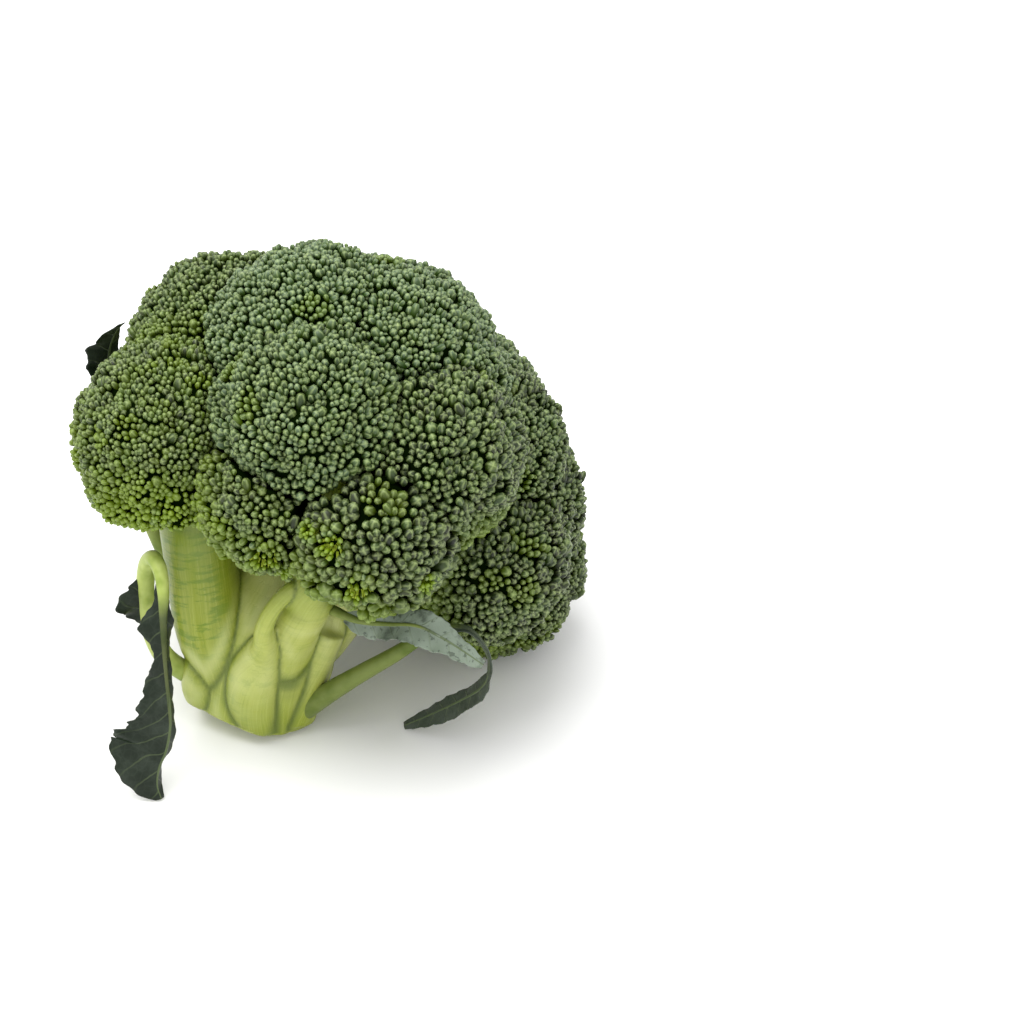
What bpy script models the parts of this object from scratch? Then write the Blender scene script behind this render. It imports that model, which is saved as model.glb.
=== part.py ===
"""Broccoli head with its cut stalk and the leaves left on it.

It leans to the right and back, resting on the edge of its cut stalk and on two low lobes of the crown.
Sizes are in millimetres, written to Blender in metres: +X right, +Y back, +Z up.
"""

import math

import bmesh
import bpy
import numpy as np

MM = 0.001
GAP = 0.3
FLOOR = -2.5

# Florets: the middle of each lobe's cap x, y, z and the radius to its bud tips there. Each grows from
# deeper in the crown than that by ROOT_DEPTH, towards CROWN_HEART, so that its cap is flatter and meets
# the others.
CROWN_HEART = (25.0, 16.0, 70.0)
ROOT_DEPTH = 7.5
LOBES = {
    "floret_left": (-26.0, 5.0, 95.5, 25.5),
    "floret_left_low": (9.0, -24.5, 94.5, 19.0),
    "floret_left_top": (-9.0, 45.0, 104.0, 26.5),
    "floret_left_back": (-12.0, 60.0, 76.0, 27.0),
    "floret_top": (22.0, 19.0, 121.0, 28.5),
    "floret_top_right": (44.0, 18.0, 112.0, 32.0),
    "floret_top_front": (23.0, -13.0, 116.0, 25.5),
    "floret_top_back": (30.0, 60.0, 92.0, 28.0),
    "floret_front": (41.0, -33.5, 87.5, 21.5),
    "floret_front_right": (59.0, -12.0, 103.0, 24.0),
    "floret_low_right": (76.0, 4.0, 50.0, 23.5),
    "floret_right": (74.5, 24.0, 78.5, 24.0),
    "floret_right_mid": (80.0, 30.0, 54.0, 24.0),
    "floret_right_rest": (79.5, 40.0, 20.2, 23.5),
    "floret_right_back": (66.8, 60.0, 65.5, 25.0),
    "floret_back_rest": (46.0, 82.0, 25.6, 27.0),
    "floret_back": (12.0, 78.0, 49.0, 26.0),
}
# A floret ends flat at this share of its radius, on the side of its twig.
UNDERSIDE = 0.62
# Florets also stand this much further from the plane between them.
WALL_SLACK = 0.05
# How far limbs that pass a floret stay clear of it, and how finely its shape is followed.
CLEARANCE = 1.2
CLEAR_DIVISIONS = 4
CUTTER_DEPTH = 40.0

# Coarse buds: spacing and height of the faceted relief, and the clumps that they stand on.
BUD_PITCH = 7.3
BUD_HEIGHT = 2.3
CLUMP_PITCH = 14.0
CLUMP_RISE = 2.4
# A clump's rise runs out at this share of the pitch from its middle.
CLUMP_SPREAD = 0.62
# Area that each bud or clump takes, as a share of its pitch squared: close packing.
PACKING = 0.87
# Buds stand where at least this share of a floret's radius is open, and one point in HIDDEN_SHARE is
# kept elsewhere.
OPEN_SHARE = 0.93
HIDDEN_SHARE = 6

# Stalk: the trunk's centres and radii from the cut upwards, and the flat faces of its cut, each as its lean,
# the heading it leans to and a point on it.
TRUNK = ((0.0, 0.0, 0.0, 20.5), (2.0, 1.0, 8.0, 21.2), (5.0, 3.0, 20.0, 22.0), (9.0, 7.0, 32.0, 21.0),
         (13.0, 11.0, 44.0, 16.0))
TRUNK_SIDES = 20
TRUNK_RIPPLE = 0.035
CUT_FACES = (
    (math.radians(9.0), math.radians(30.0), (0.0, 0.0, 0.0)),
    (math.radians(33.0), math.radians(48.0), (-7.0, -7.7, 0.0)),
)

# Limbs: knots where they divide, each with its own limb from the trunk, and the florets each one feeds.
LIMB_SIDES = 10
TWIG_SIDES = 8
TWIG_RADII = (7.5, 6.3)
# How far back inside its knot a twig starts, as a share of the knot's radius.
TWIG_ROOT = 0.25
KNOTS = {
    "left": ((-5.0, -2.0, 10.0, 12.5), (-11.0, -4.0, 32.0, 11.5), (-13.0, 0.0, 52.0, 11.0)),
    "top": ((9.0, 7.0, 32.0, 15.0), (16.0, 14.0, 60.0, 13.0), (20.0, 18.0, 78.0, 11.0)),
    "front": ((6.0, -5.0, 12.0, 13.0), (12.5, -11.0, 34.0, 9.8), (19.5, -17.0, 52.0, 8.5)),
    "right": ((10.0, 2.0, 14.0, 13.0), (28.0, 6.0, 36.0, 11.5), (44.0, 12.0, 54.0, 10.0)),
    "back": ((10.0, 10.0, 18.0, 14.0), (20.0, 32.0, 36.0, 11.5), (26.0, 46.0, 46.0, 10.0)),
    "low": ((12.0, 6.0, 20.0, 11.0), (34.0, 20.0, 26.0, 9.5), (48.0, 27.0, 26.0, 8.5)),
}
FED_BY = {
    "left": ("floret_left", "floret_left_low", "floret_left_top", "floret_left_back"),
    "top": ("floret_top", "floret_top_right", "floret_top_front", "floret_top_back"),
    "front": ("floret_front",),
    "right": ("floret_front_right", "floret_low_right", "floret_right", "floret_right_mid"),
    "back": ("floret_back", "floret_back_rest", "floret_right_back"),
    "low": ("floret_right_rest",),
}
# Broad bases of leaves cut off the stalk: centres and radii. The front one keeps its leafstalk, as a
# curved horn.
LEAF_SCARS = {
    "front": ((2.0, -11.0, 3.0, 10.0), (1.5, -12.4, 13.0, 9.9), (2.5, -13.6, 22.0, 8.8), (5.0, -15.4, 29.5, 6.4),
              (6.4, -18.4, 36.0, 4.0), (6.8, -20.8, 43.5, 2.9), (9.0, -21.8, 51.0, 2.5), (13.4, -21.0, 57.0, 2.3),
              (19.0, -19.0, 60.3, 2.1)),
    "left": ((-11.0, -5.0, 4.0, 7.8), (-14.5, -7.5, 12.0, 6.8), (-15.5, -7.0, 24.0, 4.0)),
    "right": ((12.0, -9.0, 2.0, 8.0), (17.0, -8.0, 16.0, 7.0), (24.0, -6.0, 32.0, 6.0)),
}

# Leaves: leafstalk centres and radii, then blade rows of midrib x, y, z, left width and right width, and the
# directions in which the two halves of the blade spread at its foot and at its tip.
BLADE = 1.1
BLADE_COLUMNS = 3
LEAVES = {
    "leaf_left": {
        "stalk": ((-17.0, -5.0, 12.0, 3.4), (-26.0, -9.0, 24.5, 3.4), (-29.8, -10.0, 41.0, 3.3),
                  (-28.9, -12.0, 57.8, 3.1), (-26.3, -16.0, 65.2, 2.9), (-23.8, -21.0, 64.8, 2.6),
                  (-22.6, -26.0, 60.0, 2.2)),
        "rows": ((-23.0, -24.5, 62.0, 2.0, 2.0), (-22.8, -28.0, 56.0, 3.4, 3.0), (-23.0, -31.0, 50.5, 7.0, 5.0),
                 (-22.6, -33.5, 43.5, 3.4, 3.2), (-22.2, -35.5, 34.0, 6.0, 2.4), (-21.6, -37.5, 27.5, 9.5, 2.4),
                 (-21.6, -39.5, 20.0, 12.5, 2.6), (-23.0, -41.5, 13.0, 16.0, 3.0), (-25.2, -43.5, 8.0, 15.5, 3.2),
                 (-26.0, -45.5, 3.0, 8.5, 2.8), (-25.0, -46.5, -1.6, 1.6, 1.2)),
        "spread": (((-0.9, 0.35, 0.25), (0.5, 0.85, 0.0)), ((-0.97, -0.2, 0.1), (0.35, 0.92, 0.1))),
        "wave": 1.5,
    },
    "leaf_front": {
        "stalk": ((20.0, -12.0, 45.0, 2.2), (26.0, -19.0, 48.6, 1.8), (32.0, -25.5, 50.4, 1.5),
                  (38.0, -30.2, 52.0, 1.3)),
        "rows": ((31.0, -24.8, 50.2, 1.6, 1.6), (36.0, -29.0, 51.4, 3.6, 4.2), (44.0, -34.0, 54.2, 4.8, 5.0),
                 (52.0, -37.5, 56.2, 5.2, 5.6), (59.0, -40.5, 54.4, 4.8, 5.2), (65.5, -42.0, 50.5, 3.6, 4.0),
                 (71.5, -42.0, 45.3, 1.2, 1.2)),
        "spread": (((-0.25, 0.6, 0.75), (0.3, -0.85, -0.4)), ((0.4, 0.8, 0.4), (-0.4, -0.8, -0.4))),
        "wave": 1.2,
    },
    "leaf_right": {
        "stalk": ((14.0, -10.5, 3.0, 4.2), (22.5, -13.5, 11.8, 3.5), (33.0, -15.5, 21.0, 2.9),
                  (46.0, -18.5, 32.3, 2.4), (55.5, -21.8, 42.2, 2.0), (61.5, -25.2, 46.6, 1.6)),
        "rows": ((57.0, -22.5, 43.2, 1.4, 1.4), (62.8, -26.0, 47.2, 2.0, 2.0), (68.6, -30.0, 48.0, 2.4, 2.2),
                 (73.2, -32.0, 41.5, 2.5, 2.3), (73.2, -32.0, 34.0, 2.6, 2.5), (70.5, -28.5, 26.0, 3.4, 3.2),
                 (64.5, -22.0, 16.5, 4.2, 3.4), (56.0, -17.0, 7.6, 3.8, 3.2), (47.0, -12.5, -0.6, 1.2, 1.2)),
        "spread": (((0.1, -0.9, 0.4), (-0.1, 0.9, -0.4)), ((0.35, -0.85, -0.35), (-0.2, 0.9, 0.35))),
        "wave": 0.7,
    },
    "leaf_back": {
        "stalk": ((-13.0, 10.0, 14.0, 3.2), (-26.0, 26.0, 34.0, 3.0), (-38.0, 37.5, 60.0, 2.6),
                  (-42.0, 39.2, 76.0, 2.0)),
        "rows": ((-39.0, 38.0, 66.0, 2.0, 1.6), (-41.5, 39.0, 80.0, 4.4, 2.4), (-42.5, 38.5, 93.0, 6.4, 3.0),
                 (-41.5, 36.5, 104.0, 7.4, 3.2), (-39.0, 34.5, 112.0, 6.4, 2.6), (-36.6, 33.0, 116.0, 2.2, 1.6)),
        "spread": (((-0.6, -0.75, 0.1), (0.6, 0.75, 0.1)), ((-0.75, -0.6, 0.25), (0.75, 0.6, 0.2))),
        "wave": 1.3,
    },
}
SMOOTHING_STEPS = 2
TOOTH = 0.10

FLORETS = {}

COLOURS = {
    "buds": ((0.062, 0.105, 0.052), 0.62),
    "stalk": ((0.42, 0.52, 0.17), 0.5),
    "blade": ((0.060, 0.095, 0.055), 0.58),
}


def place_florets():
    """Each floret's centre and radius, from its lobe."""
    heart = np.array(CROWN_HEART)
    for name, (x, y, z, radius) in LOBES.items():
        outward = unit(np.array((x, y, z)) - heart)
        centre = np.array((x, y, z)) - ROOT_DEPTH * outward
        FLORETS[name] = (*centre.tolist(), radius + ROOT_DEPTH)


def clear_scene():
    for item in list(bpy.data.objects):
        bpy.data.objects.remove(item, do_unlink=True)


def make_collection(name, is_rendered):
    made = bpy.data.collections.new(name)
    made.hide_render = not is_rendered
    bpy.context.scene.collection.children.link(made)
    return made


def make_material(name, kind):
    colour, roughness = COLOURS[kind]
    material = bpy.data.materials.new(name)
    material.use_nodes = True
    shader = material.node_tree.nodes["Principled BSDF"]
    shader.inputs["Base Color"].default_value = (*colour, 1.0)
    shader.inputs["Roughness"].default_value = roughness
    shader.inputs["Metallic"].default_value = 0.0
    material.diffuse_color = (*colour, 1.0)
    return material


def add_object(name, points, faces, collection):
    """A closed mesh about the middle of its points, placed by its location, facing out."""
    points = np.asarray(points, float)
    middle = (points.min(axis=0) + points.max(axis=0)) / 2.0
    mesh = bpy.data.meshes.new(name)
    mesh.from_pydata(((points - middle) * MM).tolist(), [], [list(map(int, face)) for face in faces])
    face_out(mesh)
    mesh.shade_smooth()
    made = bpy.data.objects.new(name, mesh)
    made.location = (middle * MM).tolist()
    collection.objects.link(made)
    return made


def face_out(mesh):
    shape = bmesh.new()
    shape.from_mesh(mesh)
    bmesh.ops.recalc_face_normals(shape, faces=shape.faces)
    if shape.calc_volume(signed=True) < 0.0:
        bmesh.ops.reverse_faces(shape, faces=shape.faces)
    shape.to_mesh(mesh)
    shape.free()


def unit(vector):
    vector = np.asarray(vector, float)
    return vector / np.linalg.norm(vector)


def spiral_directions(count, turn):
    """Directions spread evenly over a sphere along a spiral, its pole turned out of line."""
    index = np.arange(count) + 0.5
    height = 1.0 - 2.0 * index / count
    around = index * math.pi * (3.0 - math.sqrt(5.0)) + turn
    flat = np.sqrt(1.0 - height ** 2)
    spread = np.stack([flat * np.cos(around), flat * np.sin(around), height], axis=1)
    lean, roll = 0.7 + turn, 1.9 * turn
    tip = np.array([[1, 0, 0], [0, math.cos(lean), -math.sin(lean)], [0, math.sin(lean), math.cos(lean)]])
    spin = np.array([[math.cos(roll), 0, math.sin(roll)], [0, 1, 0], [-math.sin(roll), 0, math.cos(roll)]])
    return spread @ tip.T @ spin.T


def hull_triangles(directions):
    """The triangles that join neighbouring directions."""
    shape = bmesh.new()
    for direction in directions:
        shape.verts.new(direction.tolist())
    shape.verts.ensure_lookup_table()
    shape.verts.index_update()
    bmesh.ops.convex_hull(shape, input=shape.verts)
    bmesh.ops.triangulate(shape, faces=shape.faces)
    triangles = [tuple(vert.index for vert in face.verts) for face in shape.faces]
    shape.free()
    return triangles


def underside_towards(name):
    """The direction from a floret to the knot that feeds it."""
    centre = np.array(FLORETS[name][:3])
    for knot, fed in FED_BY.items():
        if name in fed:
            return unit(np.array(KNOTS[knot][-1][:3]) - centre)
    raise KeyError(name)


def walls_of(name):
    """Planes that close a floret off from its neighbours and at its underside: (normal, distance)."""
    centre, radius = np.array(FLORETS[name][:3]), FLORETS[name][3]
    walls = [(underside_towards(name), UNDERSIDE * radius)]
    for other, (x, y, z, reach) in FLORETS.items():
        if other == name:
            continue
        across = np.array((x, y, z)) - centre
        apart = np.linalg.norm(across)
        if apart < radius + reach + CLUMP_RISE:
            distance = (apart ** 2 + radius ** 2 - reach ** 2) / (2.0 * apart)
            walls.append((across / apart, distance - GAP / 2.0 - WALL_SLACK))
    return walls


def reach_to_walls(directions, walls):
    reach = np.full(len(directions), 1e6)
    for normal, distance in walls:
        along = directions @ normal
        facing = along > 1e-6
        reach[facing] = np.minimum(reach[facing], distance / along[facing])
    return reach


def clump_rise(directions, radius, turn):
    """How far the clump under each direction lifts the buds: highest in its middle."""
    count = max(10, round(4.0 * math.pi * radius ** 2 / (PACKING * CLUMP_PITCH ** 2)))
    middles = spiral_directions(count, 2.3 * turn + 0.4)
    nearest = np.clip((directions @ middles.T).max(axis=1), -1.0, 1.0)
    off = np.arccos(nearest) * radius / (CLUMP_SPREAD * CLUMP_PITCH)
    return CLUMP_RISE * (1.0 - off ** 2)


def add_floret(name, order, collection):
    """Bud tips stand out at every direction that is open to the air, with a valley between each three."""
    centre, radius = np.array(FLORETS[name][:3]), FLORETS[name][3]
    turn = 0.37 * order
    walls = walls_of(name)
    count = round(4.0 * math.pi * radius ** 2 / (PACKING * BUD_PITCH ** 2))
    tips = spiral_directions(count, turn)
    open_share = reach_to_walls(tips, walls) > radius * OPEN_SHARE
    keep = open_share | (np.arange(count) % HIDDEN_SHARE == 0)
    tips, is_bud = tips[keep], open_share[keep]
    triangles = hull_triangles(tips)
    valleys = np.array([unit(tips[list(triangle)].sum(axis=0)) for triangle in triangles])
    depth = np.array([BUD_HEIGHT if is_bud[list(triangle)].any() else 0.0 for triangle in triangles])
    directions = np.concatenate([tips, valleys])
    relief = np.concatenate([np.zeros(len(tips)), depth])
    cap = radius - CLUMP_RISE + clump_rise(directions, radius, turn) - relief
    points = centre + directions * np.minimum(cap, reach_to_walls(directions, walls))[:, None]
    points[:, 2] = np.maximum(points[:, 2], FLOOR)
    made = add_object(name, points, bud_faces(triangles, len(tips)), collection)
    made.data.materials.append(make_material(name + "_buds", "buds"))
    return made


def bud_faces(triangles, tip_count):
    """Two faces on each line between neighbouring tips, each from one tip to the two valleys beside it."""
    beside = {}
    for index, (a, b, c) in enumerate(triangles):
        for first, second in ((a, b), (b, c), (c, a)):
            beside.setdefault((min(first, second), max(first, second)), []).append(tip_count + index)
    faces = []
    for (low, high), (one, two) in beside.items():
        faces.append((low, one, two))
        faces.append((high, two, one))
    return faces


def smooth_path(rows, steps):
    """Rows with steps more between each two, on a curve through them all."""
    rows = np.asarray(rows, float)
    before = np.vstack([2 * rows[0] - rows[1], rows[:-1]])
    after = np.vstack([rows[1:], 2 * rows[-1] - rows[-2]])
    found = []
    for i in range(len(rows) - 1):
        for step in range(steps):
            t = step / steps
            leave, arrive = (after[i] - before[i]) / 2.0, (after[i + 1] - before[i + 1]) / 2.0
            found.append((2 * t ** 3 - 3 * t ** 2 + 1) * rows[i] + (t ** 3 - 2 * t ** 2 + t) * leave
                         + (3 * t ** 2 - 2 * t ** 3) * rows[i + 1] + (t ** 3 - t ** 2) * arrive)
    found.append(rows[-1])
    return np.array(found)


def tube_shape(rows, sides, ripple=0.0, foot_normal=None):
    """A closed tube through centres with radii: (points, faces). The first ring can lie in a leaning plane."""
    centres, radii = rows[:, :3], rows[:, 3]
    points = []
    aside = None
    for i, (centre, radius) in enumerate(zip(centres, radii)):
        along = unit(centres[min(i + 1, len(rows) - 1)] - centres[max(i - 1, 0)])
        if i == 0 and foot_normal is not None:
            along = foot_normal
        aside = np.array([0.0, 1.0, 0.0]) if aside is None else aside
        aside = unit(aside - along * (aside @ along))
        across = np.cross(along, aside)
        for k in range(sides):
            angle = 2.0 * math.pi * k / sides
            swell = radius * (1.0 + ripple * math.cos(5.0 * angle + 0.6))
            points.append(centre + swell * (math.cos(angle) * aside + math.sin(angle) * across))
    faces = []
    for i in range(len(rows) - 1):
        for k in range(sides):
            a, b = i * sides + k, i * sides + (k + 1) % sides
            faces.append((a, b, b + sides, a + sides))
    faces.append(tuple(range(sides))[::-1])
    faces.append(tuple(range((len(rows) - 1) * sides, len(rows) * sides)))
    return points, faces


def add_tube(name, rows, sides, collection, ripple=0.0, foot_normal=None):
    points, faces = tube_shape(np.asarray(rows, float), sides, ripple, foot_normal)
    return add_object(name, points, faces, collection)


def cut_normal(face):
    lean, towards = face[:2]
    return np.array([math.sin(lean) * math.cos(towards), math.sin(lean) * math.sin(towards), math.cos(lean)])


def stalk_tubes(swell):
    """Every tube that makes up the stalk, as (rows, sides, ripple): swell adds to all the radii."""
    wider = np.array([0.0, 0.0, 0.0, swell])
    tubes = [(smooth_path(TRUNK, SMOOTHING_STEPS) + wider, TRUNK_SIDES, TRUNK_RIPPLE)]
    for knot, rows in KNOTS.items():
        tubes.append((smooth_path(rows, SMOOTHING_STEPS) + wider, LIMB_SIDES, 0.0))
        for name in FED_BY[knot]:
            tubes.append((twig_rows(name, np.array(rows[-1])) + wider, TWIG_SIDES, 0.0))
    for rows in LEAF_SCARS.values():
        tubes.append((np.array(rows) + wider, TWIG_SIDES, 0.0))
    return tubes


def twig_rows(name, knot):
    """From inside the knot to the flat underside of a floret, and square to it there."""
    centre, radius = np.array(FLORETS[name][:3]), FLORETS[name][3]
    end = centre + underside_towards(name) * (UNDERSIDE * radius + GAP)
    root = knot[:3] - TWIG_ROOT * knot[3] * unit(end - knot[:3])
    return np.array([[*root, TWIG_RADII[0]], [*end, TWIG_RADII[1]]])


def union_of(name, parts, collection, target):
    """The parts fused into one mesh object in the target collection."""
    base = parts[0]
    if len(parts) > 1:
        joined = bpy.data.collections.new(name + "_parts")
        bpy.context.scene.collection.children.link(joined)
        for part in parts[1:]:
            collection.objects.unlink(part)
            joined.objects.link(part)
        fuse = base.modifiers.new("fuse", "BOOLEAN")
        fuse.operation = "UNION"
        fuse.solver = "MANIFOLD"
        fuse.operand_type = "COLLECTION"
        fuse.collection = joined
        apply_modifiers(base)
        for part in list(joined.objects):
            bpy.data.objects.remove(part, do_unlink=True)
        bpy.data.collections.remove(joined)
    base.name = name
    base.data.name = name
    if target is not collection:
        collection.objects.unlink(base)
        target.objects.link(base)
    return base


def apply_modifiers(item):
    bpy.context.view_layer.update()
    graph = bpy.context.evaluated_depsgraph_get()
    item.data = bpy.data.meshes.new_from_object(item.evaluated_get(graph))
    item.modifiers.clear()


def subtract(item, cutter):
    cut = item.modifiers.new("cut", "BOOLEAN")
    cut.operation = "DIFFERENCE"
    cut.solver = "MANIFOLD"
    cut.object = cutter
    apply_modifiers(item)


def keep_largest(item):
    """Drops the scraps that a cut leaves loose."""
    shape = bmesh.new()
    shape.from_mesh(item.data)
    left, bodies = set(shape.verts), []
    while left:
        body, edge = set(), [left.pop()]
        while edge:
            vert = edge.pop()
            body.add(vert)
            for link in vert.link_edges:
                other = link.other_vert(vert)
                if other in left:
                    left.discard(other)
                    edge.append(other)
        bodies.append(body)
    bodies.sort(key=lambda body: box_volume(body), reverse=True)
    for body in bodies[1:]:
        bmesh.ops.delete(shape, geom=list(body), context="VERTS")
    shape.to_mesh(item.data)
    shape.free()


def box_volume(verts):
    places = np.array([vert.co[:] for vert in verts])
    return float(np.prod(places.max(axis=0) - places.min(axis=0) + 1e-9))


def floret_cutter(name, helpers):
    """A smooth floret, larger by the clearance, that keeps limbs which pass it clear of it."""
    centre, radius = np.array(FLORETS[name][:3]), FLORETS[name][3]
    walls = walls_of(name)
    own = [(walls[0][0], walls[0][1] + GAP - WALL_SLACK)]
    shape = bmesh.new()
    bmesh.ops.create_icosphere(shape, subdivisions=CLEAR_DIVISIONS, radius=radius + CLEARANCE)
    for normal, distance in own + [(normal, distance + CLEARANCE) for normal, distance in walls[1:]]:
        everything = list(shape.verts) + list(shape.edges) + list(shape.faces)
        bmesh.ops.bisect_plane(shape, geom=everything, dist=1e-5, plane_co=(normal * distance).tolist(),
                               plane_no=normal.tolist(), clear_outer=True)
        bmesh.ops.holes_fill(shape, edges=[edge for edge in shape.edges if edge.is_boundary])
    bmesh.ops.triangulate(shape, faces=shape.faces)
    shape.verts.index_update()
    points = np.array([vert.co[:] for vert in shape.verts])
    faces = [tuple(vert.index for vert in face.verts) for face in shape.faces]
    shape.free()
    made = add_object(name + "_clear", centre + points, faces, helpers)
    made.display_type = "WIRE"
    return made


def add_stalk(collection, helpers):
    foot = cut_normal(CUT_FACES[0])
    parts = []
    for index, (rows, sides, ripple) in enumerate(stalk_tubes(0.0)):
        parts.append(add_tube("limb_%d" % index, rows, sides, helpers, ripple, foot if index == 0 else None))
    stalk = union_of("stalk", parts, helpers, collection)
    cutters = [floret_cutter(name, helpers) for name in FLORETS]
    cutters += [below_cut(face, helpers) for face in CUT_FACES]
    cutters.append(below_floor(helpers))
    for cutter in cutters:
        subtract(stalk, cutter)
        bpy.data.objects.remove(cutter, do_unlink=True)
    keep_largest(stalk)
    stalk.data.materials.clear()
    stalk.data.materials.append(make_material("stalk_flesh", "stalk"))
    return stalk


def add_box(name, low, high, helpers):
    shape = bmesh.new()
    bmesh.ops.create_cube(shape, size=1.0)
    size = np.array(high, float) - np.array(low, float)
    bmesh.ops.scale(shape, vec=(size * MM).tolist(), verts=shape.verts)
    mesh = bpy.data.meshes.new(name)
    shape.to_mesh(mesh)
    shape.free()
    made = bpy.data.objects.new(name, mesh)
    made.location = ((np.array(high, float) + np.array(low, float)) / 2.0 * MM).tolist()
    made.display_type = "WIRE"
    helpers.objects.link(made)
    return made


def below_cut(face, helpers):
    """Everything under one flat face of the stalk's cut."""
    box = add_box("below_cut", (-60.0, -60.0, -CUTTER_DEPTH), (60.0, 60.0, 0.0), helpers)
    normal = cut_normal(face)
    box.rotation_mode = "QUATERNION"
    angle = math.acos(normal[2])
    axis = unit(np.cross((0.0, 0.0, 1.0), normal))
    half = math.sin(angle / 2.0)
    box.rotation_quaternion = (math.cos(angle / 2.0), *(axis * half))
    box.location = ((np.array(face[2]) - normal * CUTTER_DEPTH / 2.0) * MM).tolist()
    return box


def below_floor(helpers):
    return add_box("below_floor", (-90.0, -90.0, FLOOR - CUTTER_DEPTH), (140.0, 140.0, FLOOR), helpers)


def blade_shape(leaf):
    """A thin waved blade about its midrib, closed all round: (points, faces)."""
    rows = smooth_path(leaf["rows"], SMOOTHING_STEPS)
    columns = 2 * BLADE_COLUMNS + 1
    upper, lower = [], []
    for i, (x, y, z, left, right) in enumerate(rows):
        share = i / (len(rows) - 1)
        along = unit(rows[min(i + 1, len(rows) - 1), :3] - rows[max(i - 1, 0), :3])
        halves = []
        for side in (0, 1):
            spread = (1.0 - share) * np.array(leaf["spread"][0][side]) + share * np.array(leaf["spread"][1][side])
            halves.append(unit(spread - along * (spread @ along)))
        for k in range(columns):
            offset = (k - BLADE_COLUMNS) / BLADE_COLUMNS
            half, width = (halves[0], left) if offset < 0 else (halves[1], right)
            outward = half if offset < 0 else -half
            normal = unit(np.cross(along, unit(halves[0] - halves[1]) + 0.35 * outward * abs(offset)))
            tooth = 1.0 + TOOTH * math.cos(2.1 * i + 1.3 * side_sign(offset)) * (abs(offset) == 1.0)
            wave = leaf["wave"] * offset ** 2 * math.sin(1.15 * i + 1.7 * side_sign(offset)) * min(1.0, width / 6.0)
            place = np.array([x, y, z]) + half * width * abs(offset) * tooth + normal * wave
            upper.append(place + normal * BLADE / 2.0)
            lower.append(place - normal * BLADE / 2.0)
    return upper + lower, grid_faces(len(rows), columns)


def side_sign(offset):
    return (offset > 0) - (offset < 0)


def grid_faces(row_count, columns):
    """Both faces of a grid, split into triangles alike, and the rim between them."""
    under = row_count * columns
    faces = []
    for i in range(row_count - 1):
        for k in range(columns - 1):
            a, b = i * columns + k, i * columns + k + 1
            c, d = a + columns, b + columns
            faces += [(a, b, d), (a, d, c), (under + a, under + d, under + b), (under + a, under + c, under + d)]
    rim = [k for k in range(columns)]
    rim += [i * columns + columns - 1 for i in range(1, row_count)]
    rim += [(row_count - 1) * columns + k for k in range(columns - 2, -1, -1)]
    rim += [i * columns for i in range(row_count - 2, 0, -1)]
    for a, b in zip(rim, rim[1:] + rim[:1]):
        faces += [(a, under + a, under + b), (a, under + b, b)]
    return faces


def add_leaf(name, leaf, collection, helpers):
    points, faces = blade_shape(leaf)
    blade = add_object(name + "_blade", points, faces, helpers)
    leafstalk = add_tube(name + "_stalk", smooth_path(leaf["stalk"], SMOOTHING_STEPS), TWIG_SIDES, helpers)
    made = union_of(name, [blade, leafstalk], helpers, collection)
    cutters = [add_tube("clear_%d" % index, rows, sides, helpers, ripple)
               for index, (rows, sides, ripple) in enumerate(stalk_tubes(GAP))]
    cutters.append(below_floor(helpers))
    for cutter in cutters:
        subtract(made, cutter)
        bpy.data.objects.remove(cutter, do_unlink=True)
    keep_largest(made)
    made.data.materials.clear()
    made.data.materials.append(make_material(name + "_green", "blade"))
    return made


def centre_on_floor(nodes):
    """Puts the middle of the whole under the origin, and its lowest point at height 0."""
    bpy.context.view_layer.update()
    corners = np.array([node.matrix_world @ vert.co for node in nodes for vert in node.data.vertices])
    low, high = corners.min(axis=0), corners.max(axis=0)
    shift = np.array([(low[0] + high[0]) / 2.0, (low[1] + high[1]) / 2.0, low[2]])
    for node in nodes:
        node.location = (np.array(node.location) - shift).tolist()
    print("moved by mm:", np.round(-shift / MM, 3).tolist())


def main():
    clear_scene()
    place_florets()
    shown = make_collection("broccoli_head", True)
    helpers = make_collection("cutters", False)
    nodes = [add_floret(name, order, shown) for order, name in enumerate(FLORETS)]
    nodes.append(add_stalk(shown, helpers))
    nodes += [add_leaf(name, leaf, shown, helpers) for name, leaf in LEAVES.items()]
    centre_on_floor(nodes)
    print("nodes:", len(nodes))


main()
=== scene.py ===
import bpy
import bmesh
import math
import time
import numpy as np
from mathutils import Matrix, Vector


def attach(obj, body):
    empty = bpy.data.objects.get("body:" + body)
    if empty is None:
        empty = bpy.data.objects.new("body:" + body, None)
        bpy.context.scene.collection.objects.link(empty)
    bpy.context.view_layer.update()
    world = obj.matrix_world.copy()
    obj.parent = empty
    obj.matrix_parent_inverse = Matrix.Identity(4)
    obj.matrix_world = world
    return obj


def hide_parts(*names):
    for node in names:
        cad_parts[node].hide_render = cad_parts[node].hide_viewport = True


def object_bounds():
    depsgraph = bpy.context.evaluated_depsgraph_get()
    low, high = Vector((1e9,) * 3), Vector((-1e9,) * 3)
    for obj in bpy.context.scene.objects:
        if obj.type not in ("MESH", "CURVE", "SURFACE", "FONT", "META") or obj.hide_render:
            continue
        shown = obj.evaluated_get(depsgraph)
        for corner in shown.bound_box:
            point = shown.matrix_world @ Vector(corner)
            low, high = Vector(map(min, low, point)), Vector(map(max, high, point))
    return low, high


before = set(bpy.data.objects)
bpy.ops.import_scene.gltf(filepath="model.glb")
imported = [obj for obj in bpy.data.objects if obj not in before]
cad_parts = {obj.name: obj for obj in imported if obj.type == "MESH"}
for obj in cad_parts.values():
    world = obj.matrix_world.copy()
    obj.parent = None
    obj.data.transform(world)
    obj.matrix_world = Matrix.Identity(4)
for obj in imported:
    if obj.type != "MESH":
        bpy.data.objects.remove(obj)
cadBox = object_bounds()
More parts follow.
